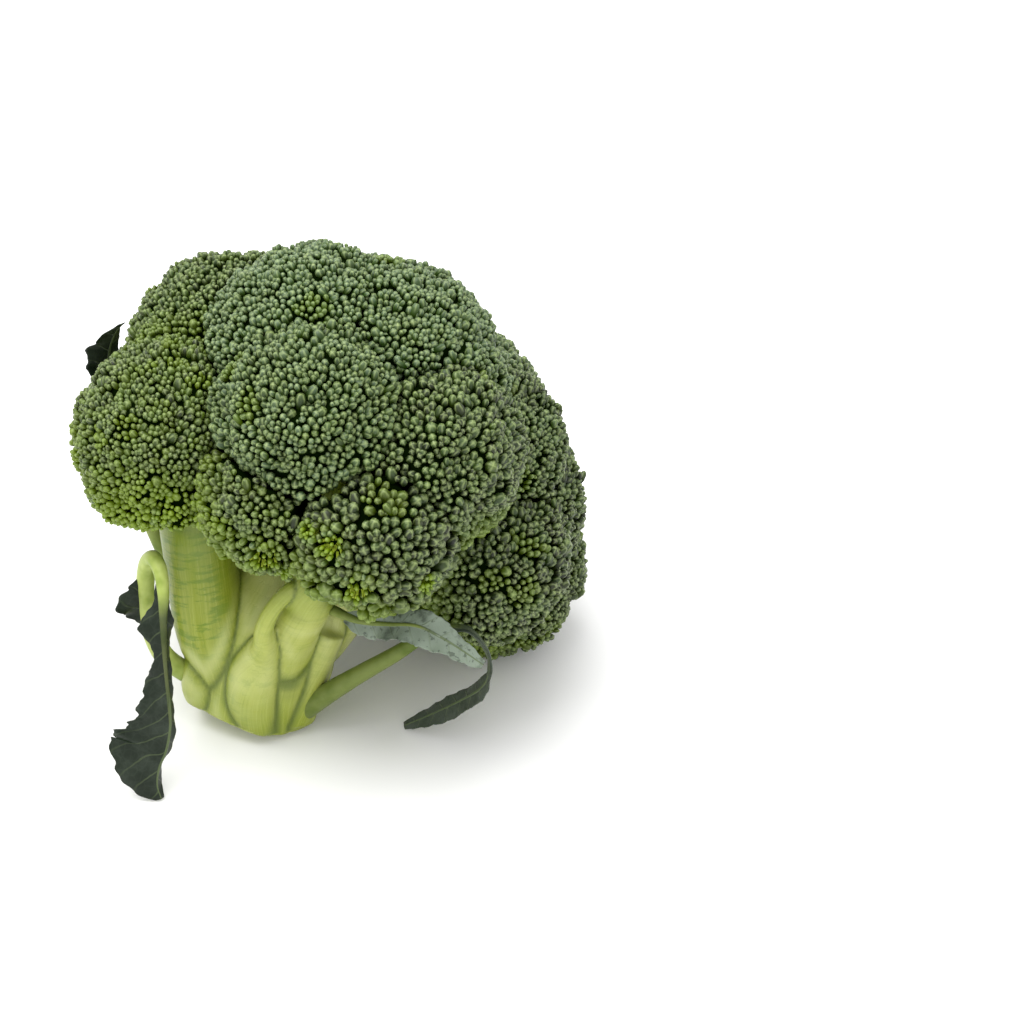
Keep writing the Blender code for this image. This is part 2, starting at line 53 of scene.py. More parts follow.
started = time.time()


def stage(words):
    print("[broccoli %5.1f s] %s" % (time.time() - started, words))


mm = 0.001
crown = {
    "moved": (-26.235, -27.24, 2.5),     # from the stalk's foot to the frame, in mm
    "heart": (25.0, 16.0, 70.0),         # point that the lobes grow away from
    "rootDepth": 7.5,                    # mm that a lobe's own middle lies deeper than its cap's
    "underside": 0.62,                   # where a lobe ends flat below, as a share of its radius
    "openShare": 0.86,                   # no buds where a neighbour is nearer than this share of the radius
    "lobeGap": 0.2,                      # mm that a lobe stands back from the wall to its neighbour
    "sprigRoot": 7.0,                    # mm below its tips where a sprig's buds start from
    "clumpPitch": 13.0,                  # mm between clumps of buds
    "clumpRise": 2.5,                    # mm from a clump's top to its edge
    "budWidth": 2.35,                    # mm, before each lobe's own factor
    "budLength": 1.72,                   # length over width
    "budShare": 0.96,                    # width of a bud as a share of its spacing
    "sprig": 7,                          # buds in a sprig, which lean together
    "gather": 0.02,                      # how far a sprig's buds draw in to its middle
    "budUneven": 0.19,                   # how much bud sizes differ
    "budSink": 2.0,                      # mm that some buds sit lower than their neighbours
    "clumpSpread": 0.62,                 # where a clump's fall is counted to, as a share of the pitch
    "clumpSink": 0.8,                    # mm that some clumps stand lower than others
    "valleyFill": 0.8,                   # mm that buds stand up where two lobes meet
    "rollOver": 1.0,                     # mm over which a lobe's edge turns down into the valley
    "corePitch": 3.7,                    # mm between the points of the body under the buds
    "coreDepth": 2.9,                    # how far that body lies below the tips, times the bud factor
    # middle of each lobe's cap x, y, z, radius, and how large its buds are
    "lobes": {
        "floret_left": (-26.0, 5.0, 95.5, 25.5, 0.93),
        "floret_left_low": (9.0, -24.5, 94.5, 19.0, 1.06),
        "floret_left_top": (-9.0, 45.0, 104.0, 26.5, 0.9),
        "floret_left_back": (-12.0, 60.0, 76.0, 27.0, 1.12),
        "floret_top": (22.0, 19.0, 121.0, 28.5, 0.94),
        "floret_top_right": (44.0, 18.0, 112.0, 32.0, 0.95),
        "floret_top_front": (23.0, -13.0, 116.0, 25.5, 1.02),
        "floret_top_back": (30.0, 60.0, 92.0, 28.0, 1.12),
        "floret_front": (41.0, -33.5, 87.5, 21.5, 1.42),
        "floret_front_right": (59.0, -12.0, 103.0, 24.0, 1.14),
        "floret_low_right": (76.0, 4.0, 50.0, 23.5, 1.18),
        "floret_right": (74.5, 24.0, 78.5, 24.0, 0.98),
        "floret_right_mid": (80.0, 30.0, 54.0, 24.0, 1.0),
        "floret_right_rest": (79.5, 40.0, 20.2, 23.5, 1.0),
        "floret_right_back": (66.8, 60.0, 65.5, 25.0, 1.12),
        "floret_back_rest": (46.0, 82.0, 25.6, 27.0, 1.22),
        "floret_back": (12.0, 78.0, 49.0, 26.0, 1.18),
    },
    # how much darker each lobe's buds are, 0.15 where nothing is said; part of it stands for shade, not
    # for the colour of the buds, so even it out for another light
    "darker": {
        "floret_left": 0.46, "floret_left_low": 0.55, "floret_left_top": 0.34,
        "floret_top_right": -0.30, "floret_top": -0.32, "floret_top_front": 0.0,
        "floret_front": 0.64, "floret_front_right": 0.42, "floret_low_right": 0.55,
        "floret_right": 0.35, "floret_right_mid": 0.48, "floret_right_rest": 0.45,
    },
    # lobes whose buds are fresher and yellower
    "fresh": {"floret_left": 0.18, "floret_left_low": 0.14, "floret_left_top": 0.09,
              "floret_right_rest": 0.06},
    "freshSprigs": 0.025,                # share of sprigs that are young and yellow-green
    # yellow-green places on the rim: x, y, z, reach, and how strong
    "young": ((9.0, -43.0, 86.0, 8.0, 0.4), (27.0, -49.0, 94.0, 8.0, 0.3),
              (37.0, -53.0, 80.0, 8.0, 0.35), (-50.0, 1.0, 93.0, 14.0, 0.34),
              (-30.0, -18.0, 82.0, 20.0, 0.40), (61.0, -20.0, 39.0, 9.0, 0.4)),
    # opening sprouts, with their little stems showing: the lobe, x, y, z and reach
    "sprouts": (("floret_left_low", 8.5, -42.0, 82.5, 5.6), ("floret_front", 27.5, -49.8, 93.0, 5.2),
                ("floret_front", 21.5, -45.4, 95.5, 3.8), ("floret_front", 35.5, -52.6, 79.0, 5.4),
                ("floret_left_low", 14.4, -39.0, 76.4, 3.8), ("floret_front", 56.0, -46.6, 77.5, 4.2),
                ("floret_left", -22.0, -23.0, 84.0, 3.6), ("floret_left", -42.0, -10.5, 81.5, 4.0)),
    # a bud's rings from foot to tip, as height and width, and how high its tip's middle is
    "bud": {
        "sides": 6,
        "sidesFinest": 8,
        "rings": ((0.0, 0.40), (0.34, 0.90), (0.72, 0.98), (0.95, 0.60)),
        "dimple": 0.94,
    },
    # lobes whose buds have the most sides
    "rounder": ("floret_left", "floret_left_low", "floret_top", "floret_top_front",
                "floret_top_right", "floret_front", "floret_front_right", "floret_low_right"),
}
stalkPlan = {
    "voxel": 0.84,                       # mm, how finely the limbs are merged
    # x, y, z and radius along the trunk, and below along each limb
    "trunk": ((0.0, 0.0, -1.5, 20.3), (2.0, 1.0, 8.0, 21.0), (5.0, 3.0, 20.0, 21.8),
              (9.0, 7.0, 32.0, 20.8), (13.0, 11.0, 44.0, 15.8)),
    # the cut's flat faces: lean, heading and a point on each
    "cutFaces": ((math.radians(9.0), math.radians(30.0), (0.0, 0.0, 0.0)),
                 (math.radians(33.0), math.radians(48.0), (-7.0, -7.7, 0.0))),
    "knots": {
        "left": ((-5.0, -2.0, 10.0, 12.5), (-11.0, -4.0, 32.0, 11.5), (-13.5, -1.0, 52.0, 11.0),
                 (-15.5, 1.0, 70.0, 10.5)),
        "top": ((9.0, 7.0, 32.0, 15.0), (16.0, 14.0, 60.0, 13.0), (20.0, 18.0, 78.0, 11.0)),
        "front": ((6.0, -5.0, 12.0, 13.0), (12.7, -10.6, 34.0, 9.0), (19.5, -17.0, 52.0, 8.2)),
        "right": ((10.0, 2.0, 14.0, 13.0), (28.0, 6.0, 36.0, 11.5), (44.0, 12.0, 54.0, 10.0)),
        "back": ((10.0, 10.0, 18.0, 14.0), (20.0, 32.0, 36.0, 11.5), (26.0, 46.0, 46.0, 10.0)),
        "low": ((12.0, 6.0, 20.0, 11.0), (34.0, 20.0, 26.0, 9.5), (48.0, 27.0, 26.0, 8.5)),
    },
    # the lobes that each limb feeds
    "fedBy": {
        "left": ("floret_left", "floret_left_low", "floret_left_top", "floret_left_back"),
        "top": ("floret_top", "floret_top_right", "floret_top_front", "floret_top_back"),
        "front": ("floret_front",),
        "right": ("floret_front_right", "floret_low_right", "floret_right", "floret_right_mid"),
        "back": ("floret_back", "floret_back_rest", "floret_right_back"),
        "low": ("floret_right_rest",),
    },
    # bases of leaves cut off the stalk; the front one keeps a slim curved leafstalk
    "scars": {
        "front": ((2.0, -11.0, 3.0, 10.0), (1.5, -12.4, 13.0, 9.9), (2.5, -13.6, 22.0, 8.8),
                  (5.0, -15.4, 29.5, 6.2), (6.0, -19.8, 36.0, 3.9), (6.2, -22.6, 43.5, 3.0),
                  (8.6, -23.8, 51.0, 2.6), (13.2, -22.8, 57.2, 2.4), (19.0, -20.4, 60.8, 2.1)),
        "left": ((-11.0, -5.0, 4.0, 7.8), (-14.5, -7.5, 12.0, 6.8), (-15.5, -7.0, 24.0, 4.0)),
        "right": ((12.0, -9.0, 2.0, 8.0), (17.0, -8.0, 16.0, 7.0), (24.0, -6.0, 32.0, 6.0)),
    },
    "rounding": ((0.6, 0.95), (1.2, 0.8), (1.6, 0.3)),      # how a knot's top runs out, in its own radii
    "twig": (7.4, 6.2),                  # mm, a twig's radius at its foot and at its lobe
    "grooveWidth": 0.6,                  # mm, the creases where limbs meet, which are dented and carry painted shade
    "grooveDepth": 0.4,
    "ridgeAway": 3.0,                    # mm from a crease to the pale ridge beside it, where a painted highlight lies
    "ridgeWidth": 1.6,
    "frontMottle": (0.5, -22.0, 17.0),   # middle of the green streaks on the front leaf base
}
packing = 0.87                           # area that each point takes, as a share of its pitch squared
footOnFloor = 0.02 - crown["moved"][2]   # mm, the lowest that anything reaches
far = 1e3


def unit(v):
    v = np.asarray(v, float)
    return v / np.maximum(np.linalg.norm(v, axis=-1, keepdims=True), 1e-12)


def goldenTurn(index):
    return index * math.pi * (3.0 - math.sqrt(5.0))


def spiral(count, turn):
    # evenly spread directions, count of them
    index = np.arange(count) + 0.5
    height = 1.0 - 2.0 * index / count
    around = goldenTurn(index) + turn
    flat = np.sqrt(1.0 - height ** 2)
    spread = np.stack([flat * np.cos(around), flat * np.sin(around), height], axis=1)
    lean, roll = 0.7 + turn, 1.9 * turn
    tip = np.array([[1, 0, 0], [0, math.cos(lean), -math.sin(lean)], [0, math.sin(lean), math.cos(lean)]])
    spin = np.array([[math.cos(roll), 0, math.sin(roll)], [0, 1, 0], [-math.sin(roll), 0, math.cos(roll)]])
    return spread @ tip.T @ spin.T


def meshOf(name, points, triangles, values=None):
    # points in mm from the stalk's foot
    points = (np.asarray(points, float) + np.array(crown["moved"])) * mm
    points = np.clip(points, *np.array(cadBox, float))   # flattens the few tips that would stand outside
    triangles = np.asarray(triangles, np.int32)
    mesh = bpy.data.meshes.new(name)
    mesh.vertices.add(len(points))
    mesh.vertices.foreach_set("co", points.astype(np.float32).ravel())
    mesh.loops.add(triangles.size)
    mesh.loops.foreach_set("vertex_index", triangles.ravel())
    mesh.polygons.add(len(triangles))
    mesh.polygons.foreach_set("loop_start", np.arange(0, triangles.size, 3, dtype=np.int32))
    mesh.update(calc_edges=True)
    mesh.validate()
    mesh.shade_smooth()
    made = bpy.data.objects.new(name, mesh)
    giveValues(made, values or {})
    bpy.context.scene.collection.objects.link(made)
    return made


def hullTriangles(directions):
    shape = bmesh.new()
    for direction in directions:
        shape.verts.new(direction.tolist())
    shape.verts.ensure_lookup_table()
    shape.verts.index_update()
    bmesh.ops.convex_hull(shape, input=shape.verts)
    bmesh.ops.triangulate(shape, faces=shape.faces)
    found = np.array([[vert.index for vert in face.verts] for face in shape.faces], np.int32)
    shape.free()
    return found


def smoothPath(rows, steps):
    rows = np.asarray(rows, float)
    before = np.vstack([2 * rows[0] - rows[1], rows[:-1]])
    after = np.vstack([rows[1:], 2 * rows[-1] - rows[-2]])
    found = []
    for i in range(len(rows) - 1):
        for step in range(steps):
            t = step / steps
            leave, arrive = (after[i] - before[i]) / 2.0, (after[i + 1] - before[i + 1]) / 2.0
            found.append((2 * t ** 3 - 3 * t ** 2 + 1) * rows[i] + (t ** 3 - 2 * t ** 2 + t) * leave
                         + (3 * t ** 2 - 2 * t ** 3) * rows[i + 1] + (t ** 3 - t ** 2) * arrive)
    found.append(rows[-1])
    return np.array(found)


florets = {}
for lobeName, (x, y, z, radius, budFactor) in crown["lobes"].items():
    outward = unit(np.array((x, y, z)) - np.array(crown["heart"]))
    florets[lobeName] = {
        "centre": np.array((x, y, z)) - crown["rootDepth"] * outward,
        "radius": radius + crown["rootDepth"],
        "buds": budFactor,
    }


def undersideOf(name):
    for knot, fed in stalkPlan["fedBy"].items():
        if name in fed:
            return unit(np.array(stalkPlan["knots"][knot][-1][:3]) - florets[name]["centre"])
    raise KeyError(name)


def wallsOf(name):
    own = florets[name]
    walls = []
    for other, its in florets.items():
        across = its["centre"] - own["centre"]
        apart = np.linalg.norm(across)
        if other != name and apart < own["radius"] + its["radius"] + crown["clumpRise"]:
            distance = (apart ** 2 + own["radius"] ** 2 - its["radius"] ** 2) / (2.0 * apart)
            walls.append((across / apart, distance - crown["lobeGap"]))
    return walls


def reachTo(directions, walls):
    reach = np.full(len(directions), far)
    for normal, distance in walls:
        along = directions @ normal
        facing = along > 1e-6
        reach[facing] = np.minimum(reach[facing], distance / along[facing])
    return reach


def softMin(a, b, width):
    mix = np.clip(0.5 + 0.5 * (b - a) / width, 0.0, 1.0)
    return b * (1.0 - mix) + a * mix - width * mix * (1.0 - mix)


def clumpsOf(radius, turn, rng):
    # uneven clumps: their middles, and how far each stands below the highest
    count = max(10, round(4.0 * math.pi * radius ** 2 / (packing * crown["clumpPitch"] ** 2)))
    middles = spiral(count, 2.3 * turn + 0.4)
    middles = unit(middles + rng.normal(0.0, 0.2 * crown["clumpPitch"] / radius, middles.shape))
    return middles, crown["clumpSink"] * rng.uniform(0.0, 1.0, count)


def clumpPlace(directions, middles, radius):
    # the nearest clump, and how far off its middle is
    nearness = directions @ middles.T
    nearest = np.argmax(nearness, axis=1)
    closest = nearness[np.arange(len(directions)), nearest]
    return nearest, np.arccos(np.clip(closest, -1, 1)) * radius


def relax(directions, radius, widthOf, sizes, rounds):
    # buds push each other apart until each has its own width
    places = directions * radius
    for turn in range(rounds):
        if turn % 4 == 0:
            width = (widthOf(places / radius) * sizes).astype(np.float32)
        gap = places[:, None, :].astype(np.float32) - places[None, :, :].astype(np.float32)
        apart = np.sqrt((gap ** 2).sum(axis=2)) + 1e-6
        want = 0.5 * (width[:, None] + width[None, :])
        short = np.clip(want - apart, 0.0, None)
        np.fill_diagonal(short, 0.0)
        push = (gap * (short / apart)[:, :, None]).sum(axis=1)
        places = unit(places + 0.42 * push) * radius
    return places / radius


def sideFaces(rings, sides):
    faces = []
    for i in range(rings - 1):
        for k in range(sides):
            a, b = i * sides + k, i * sides + (k + 1) % sides
            faces += [(a, b, b + sides), (a, b + sides, a + sides)]
    return faces


def budShape(sides, rings, dimple):
    points, high, seam = [], [], []
    for level, wide in rings:
        for k in range(sides):
            angle = 2.0 * math.pi * k / sides
            isSeam = k % 2 == 1 and sides > 5
            r = 0.5 * wide * ((0.86 if level > 0.9 else 0.90) if isSeam and level > 0.2 else 1.0)
            points.append((r * math.cos(angle), r * math.sin(angle), level))
            high.append(level)
            seam.append(1.0 if isSeam else 0.0)
    points.append((0.0, 0.0, dimple))
    high.append(1.0)
    seam.append(0.8)
    faces = sideFaces(len(rings), sides)
    top, last = len(points) - 1, (len(rings) - 1) * sides
    faces += [(last + k, last + (k + 1) % sides, top) for k in range(sides)]
    return np.array(points), np.array(faces), np.array(high), np.array(seam)


def standBuds(shape, faces, tips, axes, width, length, rng, tilt):
    # a bud at each tip, leaning a little at random from its axis, with a random roll
    axes = unit(axes + rng.normal(0.0, tilt, axes.shape))
    aside = unit(np.cross(axes, rng.normal(0.0, 1.0, axes.shape)))
    turned = np.stack([aside, np.cross(axes, aside), axes], axis=2)
    local = shape[None, :, :] * np.stack([width, width, length], axis=1)[:, None, :]
    local[:, :, 2] -= length[:, None]
    points = tips[:, None, :] + np.einsum("bij,bvj->bvi", turned, local)
    points[:, :, 2] = np.maximum(points[:, :, 2], footOnFloor)
    starts = (np.arange(len(tips)) * len(shape))[:, None, None]
    return points.reshape(-1, 3), (faces[None, :, :] + starts).reshape(-1, 3)


def budPiece(name, order):
    floret = florets[name]
    centre, radius = floret["centre"], floret["radius"]
    rng = np.random.default_rng(100 + order)
    turn = 0.37 * order
    walls = wallsOf(name)
    under, underReach = undersideOf(name), crown["underside"] * radius
    middles, sunk = clumpsOf(radius, turn, rng)
    spots = np.array(crown["young"])

    def reachOf(directions):
        nearest, away = clumpPlace(directions, middles, radius)
        share = np.clip(away / (crown["clumpSpread"] * crown["clumpPitch"]), 0.0, 1.25)
        cap = radius - crown["clumpRise"] * share ** 2 - sunk[nearest]
        wall = reachTo(directions, walls)
        cap = cap + crown["valleyFill"] * np.exp(-(np.maximum(wall - cap, 0.0) / 7.0) ** 2)
        return softMin(cap, wall, crown["rollOver"]), share

    def youngOf(places):
        away = np.linalg.norm(places[:, None, :] - spots[None, :, :3], axis=2) / spots[None, :, 3]
        return (np.clip(1.25 - away, 0.0, 1.0) * spots[:, 4]).max(axis=1)

    def widthOf(directions):
        reach, share = reachOf(directions)
        middle = np.exp(-(share / 0.45) ** 2)
        young = youngOf(centre + directions * reach[:, None])
        return crown["budWidth"] * floret["buds"] * (1.04 - 0.16 * middle) * (1.0 - 0.3 * young)

    typical = crown["budWidth"] * floret["buds"] * 1.0
    count = round(1.1 * 4.0 * math.pi * radius ** 2 / (packing * typical ** 2))
    start = spiral(count, turn)
    start = unit(start + rng.normal(0.0, 0.12 * typical / radius, start.shape))

    def isOpen(directions, spare):
        reach, _ = reachOf(directions)
        wall = reachTo(directions, walls)
        below = (directions @ under) * reach
        return (wall > radius * crown["openShare"] - spare) & (below < underReach - 1.2 + spare)

    start = start[isOpen(start, 1.5)]
    sizes = np.exp(rng.normal(0.0, crown["budUneven"], len(start)))
    placed = relax(start, radius, widthOf, sizes, 16)
    kept = isOpen(placed, 0.0)
    placed, sizes = placed[kept], sizes[kept]
    reach, _ = reachOf(placed)
    for lobe, *place, spread in crown["sprouts"]:
        beside = np.linalg.norm(centre + placed * reach[:, None] - np.array(place), axis=1) > 0.8 * spread
        placed, sizes, reach = placed[beside], sizes[beside], reach[beside]
    sprigs = unit(spiral(max(8, len(start) // crown["sprig"]), 3.1 * turn + 0.9))
    sprigs = unit(sprigs + rng.normal(0.0, 0.9 * typical / radius, sprigs.shape))
    sprigOf = np.argmax(placed @ sprigs.T, axis=1)
    own = sprigs[sprigOf]
    sprigTone, sprigSink = rng.uniform(0.0, 1.0, (2, len(sprigs)))
    freshShare = crown["freshSprigs"] + 0.8 * crown["fresh"].get(name, 0.0)
    isFresh = (rng.uniform(0.0, 1.0, len(sprigs)) < freshShare)[sprigOf]
    placed = unit(placed + crown["gather"] * (own - placed) * rng.uniform(0.5, 1.3, (len(placed), 1)))
    reach, share = reachOf(placed)
    width = widthOf(placed) * sizes * crown["budShare"] * (1.0 - 0.16 * isFresh)
    roots = centre + own * (radius - crown["sprigRoot"])
    sink = crown["budSink"] * (0.8 * rng.uniform(0.0, 1.0, len(placed)) ** 1.3 + 0.2 * sprigSink[sprigOf])
    tips = centre + placed * (reach - sink)[:, None]
    upward = np.array([0.0, 0.0, 1.0])
    axes = unit(0.3 * unit(tips - roots) + 0.42 * placed + 0.36 * upward)
    length = width * crown["budLength"] * rng.uniform(0.92, 1.12, len(placed))
    plan = crown["bud"]
    sides = plan["sidesFinest" if name in crown["rounder"] else "sides"]
    shape, faces, high, seam = budShape(sides, plan["rings"], plan["dimple"])
    points, triangles = standBuds(shape, faces, tips, axes, width, length, rng, 0.22)
    middle = np.exp(-(share / 0.42) ** 2)
    each = len(shape)
    tone = (0.75 * rng.uniform(0.0, 1.0, len(placed)) + 0.25 * sprigTone[sprigOf]
            - crown["darker"].get(name, 0.15))
    young = youngOf(tips) + 0.26 * isFresh + ((0.06 * middle + crown["fresh"].get(name, 0.03))
                                              * rng.uniform(0.2, 1.8, len(placed)))
    values = {
        "high": np.tile(high, len(placed)),
        "seam": np.tile(seam, len(placed)),
        "tone": np.repeat(tone, each),
        "young": np.repeat(np.clip(young, 0, 1), each),
        "low": np.repeat(np.clip((placed @ under) * 1.6 + 0.2, 0.0, 1.0), each),
        "stem": np.zeros(len(placed) * each),
    }
    parts = [(points, triangles, values)]
    parts += [sproutPiece(place, spread, centre, rng)
              for lobe, *place, spread in crown["sprouts"] if lobe == name]
    return joinParts(parts), len(placed), reachOf


def sproutPiece(place, spread, centre, rng):
    # small buds that open from one point, the outer ones larger and each on its own stem
    count = 19
    place = np.array(place)
    axis = unit(unit(place - centre) + np.array([0.0, -0.25, 0.1]))
    aside = unit(np.cross(axis, (0.3, 0.2, 1.0)))
    across = np.cross(axis, aside)
    index = np.arange(count)
    away = np.sqrt((index + 0.5) / count)
    angle = goldenTurn(index) + rng.uniform(0.0, 6.0)
    out = np.cos(angle)[:, None] * aside + np.sin(angle)[:, None] * across
    away = away * rng.uniform(0.75, 1.3, count)
    rise = 1.0 - away ** 2 + rng.uniform(-0.9, 0.7, count)
    tips = place + out * (spread * away)[:, None] + axis * rise[:, None]
    axes = unit(axis + 0.6 * away[:, None] * out + rng.normal(0.0, 0.12, (count, 3)))
    width = (1.0 + away) * rng.uniform(0.75, 1.2, count)
    length = width * rng.uniform(1.5, 2.1, count)
    shape, faces, high, seam = budShape(6, crown["bud"]["rings"], crown["bud"]["dimple"])
    points, triangles = standBuds(shape, faces, tips, axes, width, length, rng, 0.12)
    each = len(shape)
    tone = rng.uniform(0.3, 1.0, count)
    young = np.clip(1.05 - 0.75 * away ** 2 * rng.uniform(0.5, 1.4, count), 0.1, 1.0)
    parts = [(points, triangles, {
        "high": np.tile(high, count), "seam": np.tile(seam, count), "tone": np.repeat(tone, each),
        "young": np.repeat(young, each), "low": np.zeros(count * each), "stem": np.zeros(count * each)})]
    root = place - axis * 6.5
    for k in range(count):
        if away[k] > 0.35:
            foot = tips[k] - axes[k] * length[k] * 0.7
            bend = 0.55 * root + 0.45 * foot + out[k] * 0.6
            rows = smoothPath(((*root, 0.7), (*bend, 0.5), (*foot, 0.30 * width[k])), 3)
            stem, stemFaces = tubeShape(rows, 6)
            still = np.zeros(len(stem))
            parts.append((stem, stemFaces, {"high": still + 0.4, "seam": still, "tone": still + 0.6,
                                            "young": still, "low": still, "stem": still + 1.0}))
    return joinParts(parts)


def corePiece(name, order, reachOf):
    # the lobe's body, which its buds stand out of; it takes the near-black gap colour, painted shade under
    # the buds
    own = florets[name]
    centre, radius = own["centre"], own["radius"]
    under, underReach = undersideOf(name), crown["underside"] * radius
    whole = 4.0 * math.pi * radius ** 2 / (packing * crown["corePitch"] ** 2)
    count = round(whole * (1.0))
    directions = spiral(count, 0.37 * order + 0.1)
    reach, _ = reachOf(directions)
    reach = reach - crown["coreDepth"] * own["buds"]
    along = directions @ under
    facing = along > 0.05
    flat = np.full(len(directions), far)
    flat[facing] = (underReach - 0.4) / along[facing]
    reach = softMin(reach, flat, 4.0)
    triangles = hullTriangles(directions)
    a, b, c = (directions[triangles[:, k]] for k in range(3))
    outside = np.einsum("ij,ij->i", np.cross(b - a, c - a), a)
    triangles[outside < 0] = triangles[outside < 0][:, ::-1]
    points = centre + directions * reach[:, None]
    points[:, 2] = np.maximum(points[:, 2], -crown["moved"][2] + 0.3)
    zero = np.zeros(len(points))
    return points, triangles, {
        "high": zero - 0.6, "seam": zero, "tone": zero + 0.3, "stem": zero,
        "young": np.clip(along * 2.0 - 0.9, 0.0, 1.0), "low": np.clip(along * 1.6 + 0.2, 0.0, 1.0)}


def joinParts(parts):
    points, triangles, values, base = [], [], {}, 0
    for some, faces, its in parts:
        points.append(some)
        triangles.append(faces + base)
        base += len(some)
        for key, value in its.items():
            values.setdefault(key, []).append(value)
    joined = {key: np.concatenate(value) for key, value in values.items()}
    return np.concatenate(points), np.concatenate(triangles), joined


# builds one material, node by node
class Nodes:
    def __init__(self, name):
        self.material = bpy.data.materials.new(name)
        self.material.use_nodes = True
        self.tree = self.material.node_tree
        self.shader = self.tree.nodes["Principled BSDF"]

    def link(self, source, target):
        if hasattr(source, "outputs"):
            source = source.outputs[0]
        self.tree.links.new(source, target)

    def put(self, value, socket):
        if hasattr(value, "outputs") or hasattr(value, "is_output"):
            self.link(value, socket)
        else:
            if isinstance(value, tuple) and len(value) == 3 and socket.type == "RGBA":
                value = (*value, 1.0)
            socket.default_value = value

    def add(self, kind, **inputs):
        node = self.tree.nodes.new(kind)
        for key, value in inputs.items():
            if key.startswith("set_"):
                setattr(node, key[4:], value)
        for key, value in inputs.items():
            if not key.startswith("set_"):
                self.put(value, node.inputs[key.replace("_", " ")])
        return node

    def value(self, name):
        return self.add("ShaderNodeAttribute", set_attribute_name=name).outputs["Fac"]

    def math(self, kind, a, b=0.0):
        node = self.add("ShaderNodeMath", set_operation=kind)
        self.put(a, node.inputs[0])
        self.put(b, node.inputs[1])
        return node.outputs[0]

    def times(self, a, b):
        return self.math("MULTIPLY", a, b)

    def plus(self, a, b):
        return self.math("ADD", a, b)

    def minus(self, a, b):
        return self.math("SUBTRACT", a, b)

    def mix(self, factor, a, b, kind="MIX"):
        node = self.add("ShaderNodeMix", set_data_type="RGBA", set_blend_type=kind)
        self.put(factor, node.inputs[0])
        self.put(a, node.inputs[6])
        self.put(b, node.inputs[7])
        return node.outputs[2]

    def ramp(self, factor, low, high):
        return self.add("ShaderNodeMapRange", set_interpolation_type="SMOOTHSTEP", Value=factor,
                        From_Min=low, From_Max=high).outputs["Result"]

    def place(self):
        return self.add("ShaderNodeTexCoord").outputs["Object"]

    def noise(self, scale, detail=3.0, rough=0.55, vector=None):
        vector = self.place() if vector is None else vector
        return self.add("ShaderNodeTexNoise", Vector=vector, Scale=scale, Detail=detail,
                        Roughness=rough).outputs["Fac"]

    def bump(self, height, distance, strength=0.6):
        node = self.add("ShaderNodeBump", Strength=strength, Distance=distance, Height=height)
        self.link(node, self.shader.inputs["Normal"])

    def finish(self, colour, roughness, specular=None):
        self.put(colour, self.shader.inputs["Base Color"])
        self.put(roughness, self.shader.inputs["Roughness"])
        if specular is not None:
            self.shader.inputs["Specular IOR Level"].default_value = specular
        return self.material


budLook = {
    # painted shade: gap, foot and side darken each bud from its tip down to near black at its foot, where
    # shade falls between the buds
    "gap": (0.004, 0.010, 0.001),
    "foot": (0.008, 0.022, 0.0015),
    "side": (0.014, 0.038, 0.003),
    "tip": (0.054, 0.100, 0.017),
    "waxAndHighlight": (0.37, 0.46, 0.18),         # pale wax bloom on the tips, partly a painted highlight; also draws the pale seams
    "blue": (0.064, 0.100, 0.056),       # older buds are bluer
    "young": (0.18, 0.27, 0.003),
    "stem": (0.42, 0.52, 0.05),
    "seam": 0.34,
    "roughness": 0.46,
}


def budMaterial():
    n = Nodes("flower_buds")
    high, seam, tone = n.value("high"), n.value("seam"), n.value("tone")
    young, low = n.value("young"), n.value("low")
    # painted shade: darker down each bud's sides and near black at its foot and in the core below
    colour = n.mix(n.ramp(high, -0.2, 0.3), budLook["gap"], budLook["foot"])
    colour = n.mix(n.ramp(high, 0.22, 0.68), colour, budLook["side"])
    tip = n.mix(n.ramp(tone, 0.2, 0.9), budLook["tip"], budLook["blue"])
    colour = n.mix(n.ramp(high, 0.62, 1.04), colour, tip)
    shade = n.plus(n.times(tone, 0.86), 0.42)
    bright = n.add("ShaderNodeCombineColor", Red=shade, Green=shade, Blue=shade)
    colour = n.mix(1.0, colour, bright.outputs[0], "MULTIPLY")
    patch = n.noise(900.0, 2.0)
    # pale wax on each bud's top, partly real bloom and partly painted highlight
    waxAndHighlight = n.times(n.ramp(high, 0.90, 1.05), n.ramp(patch, 0.3, 0.75))
    colour = n.mix(n.times(waxAndHighlight, 0.9), colour, budLook["waxAndHighlight"])
    edge = n.times(n.ramp(seam, 0.45, 1.0), n.ramp(high, 0.40, 0.85))
    colour = n.mix(n.times(edge, budLook["seam"]), colour, budLook["waxAndHighlight"])
    youngShare = n.times(young, n.ramp(high, -0.8, 0.7))
    colour = n.mix(n.times(youngShare, 0.8), colour, budLook["young"])
    lower = n.times(n.times(low, n.ramp(high, 0.0, 0.5)), 0.5)
    colour = n.mix(lower, colour, budLook["young"])
    colour = n.mix(n.value("stem"), colour, budLook["stem"])
    n.bump(n.noise(2600.0, 2.0), 0.00008, 0.35)
    n.put(n.times(n.ramp(high, 0.1, 0.7), 0.4), n.shader.inputs["Specular IOR Level"])
    return n.finish(colour, budLook["roughness"])


stalkLook = {
    "flesh": (0.205, 0.255, 0.006),
    "pale": (0.39, 0.425, 0.095),
    "green": (0.130, 0.205, 0.006),
    # painted shade in the creases
    "crease": (0.085, 0.125, 0.008),
    "cut": (0.50, 0.53, 0.19),
    "ridgeHighlight": (0.49, 0.53, 0.20),          # painted highlight on the ridges beside the creases
    "speck": (0.02, 0.02, 0.01),
    "inside": {"Weight": 0.12, "Radius": (0.004, 0.005, 0.0015), "Scale": 1.0},      # light in the flesh
    "roughness": 0.38,
}


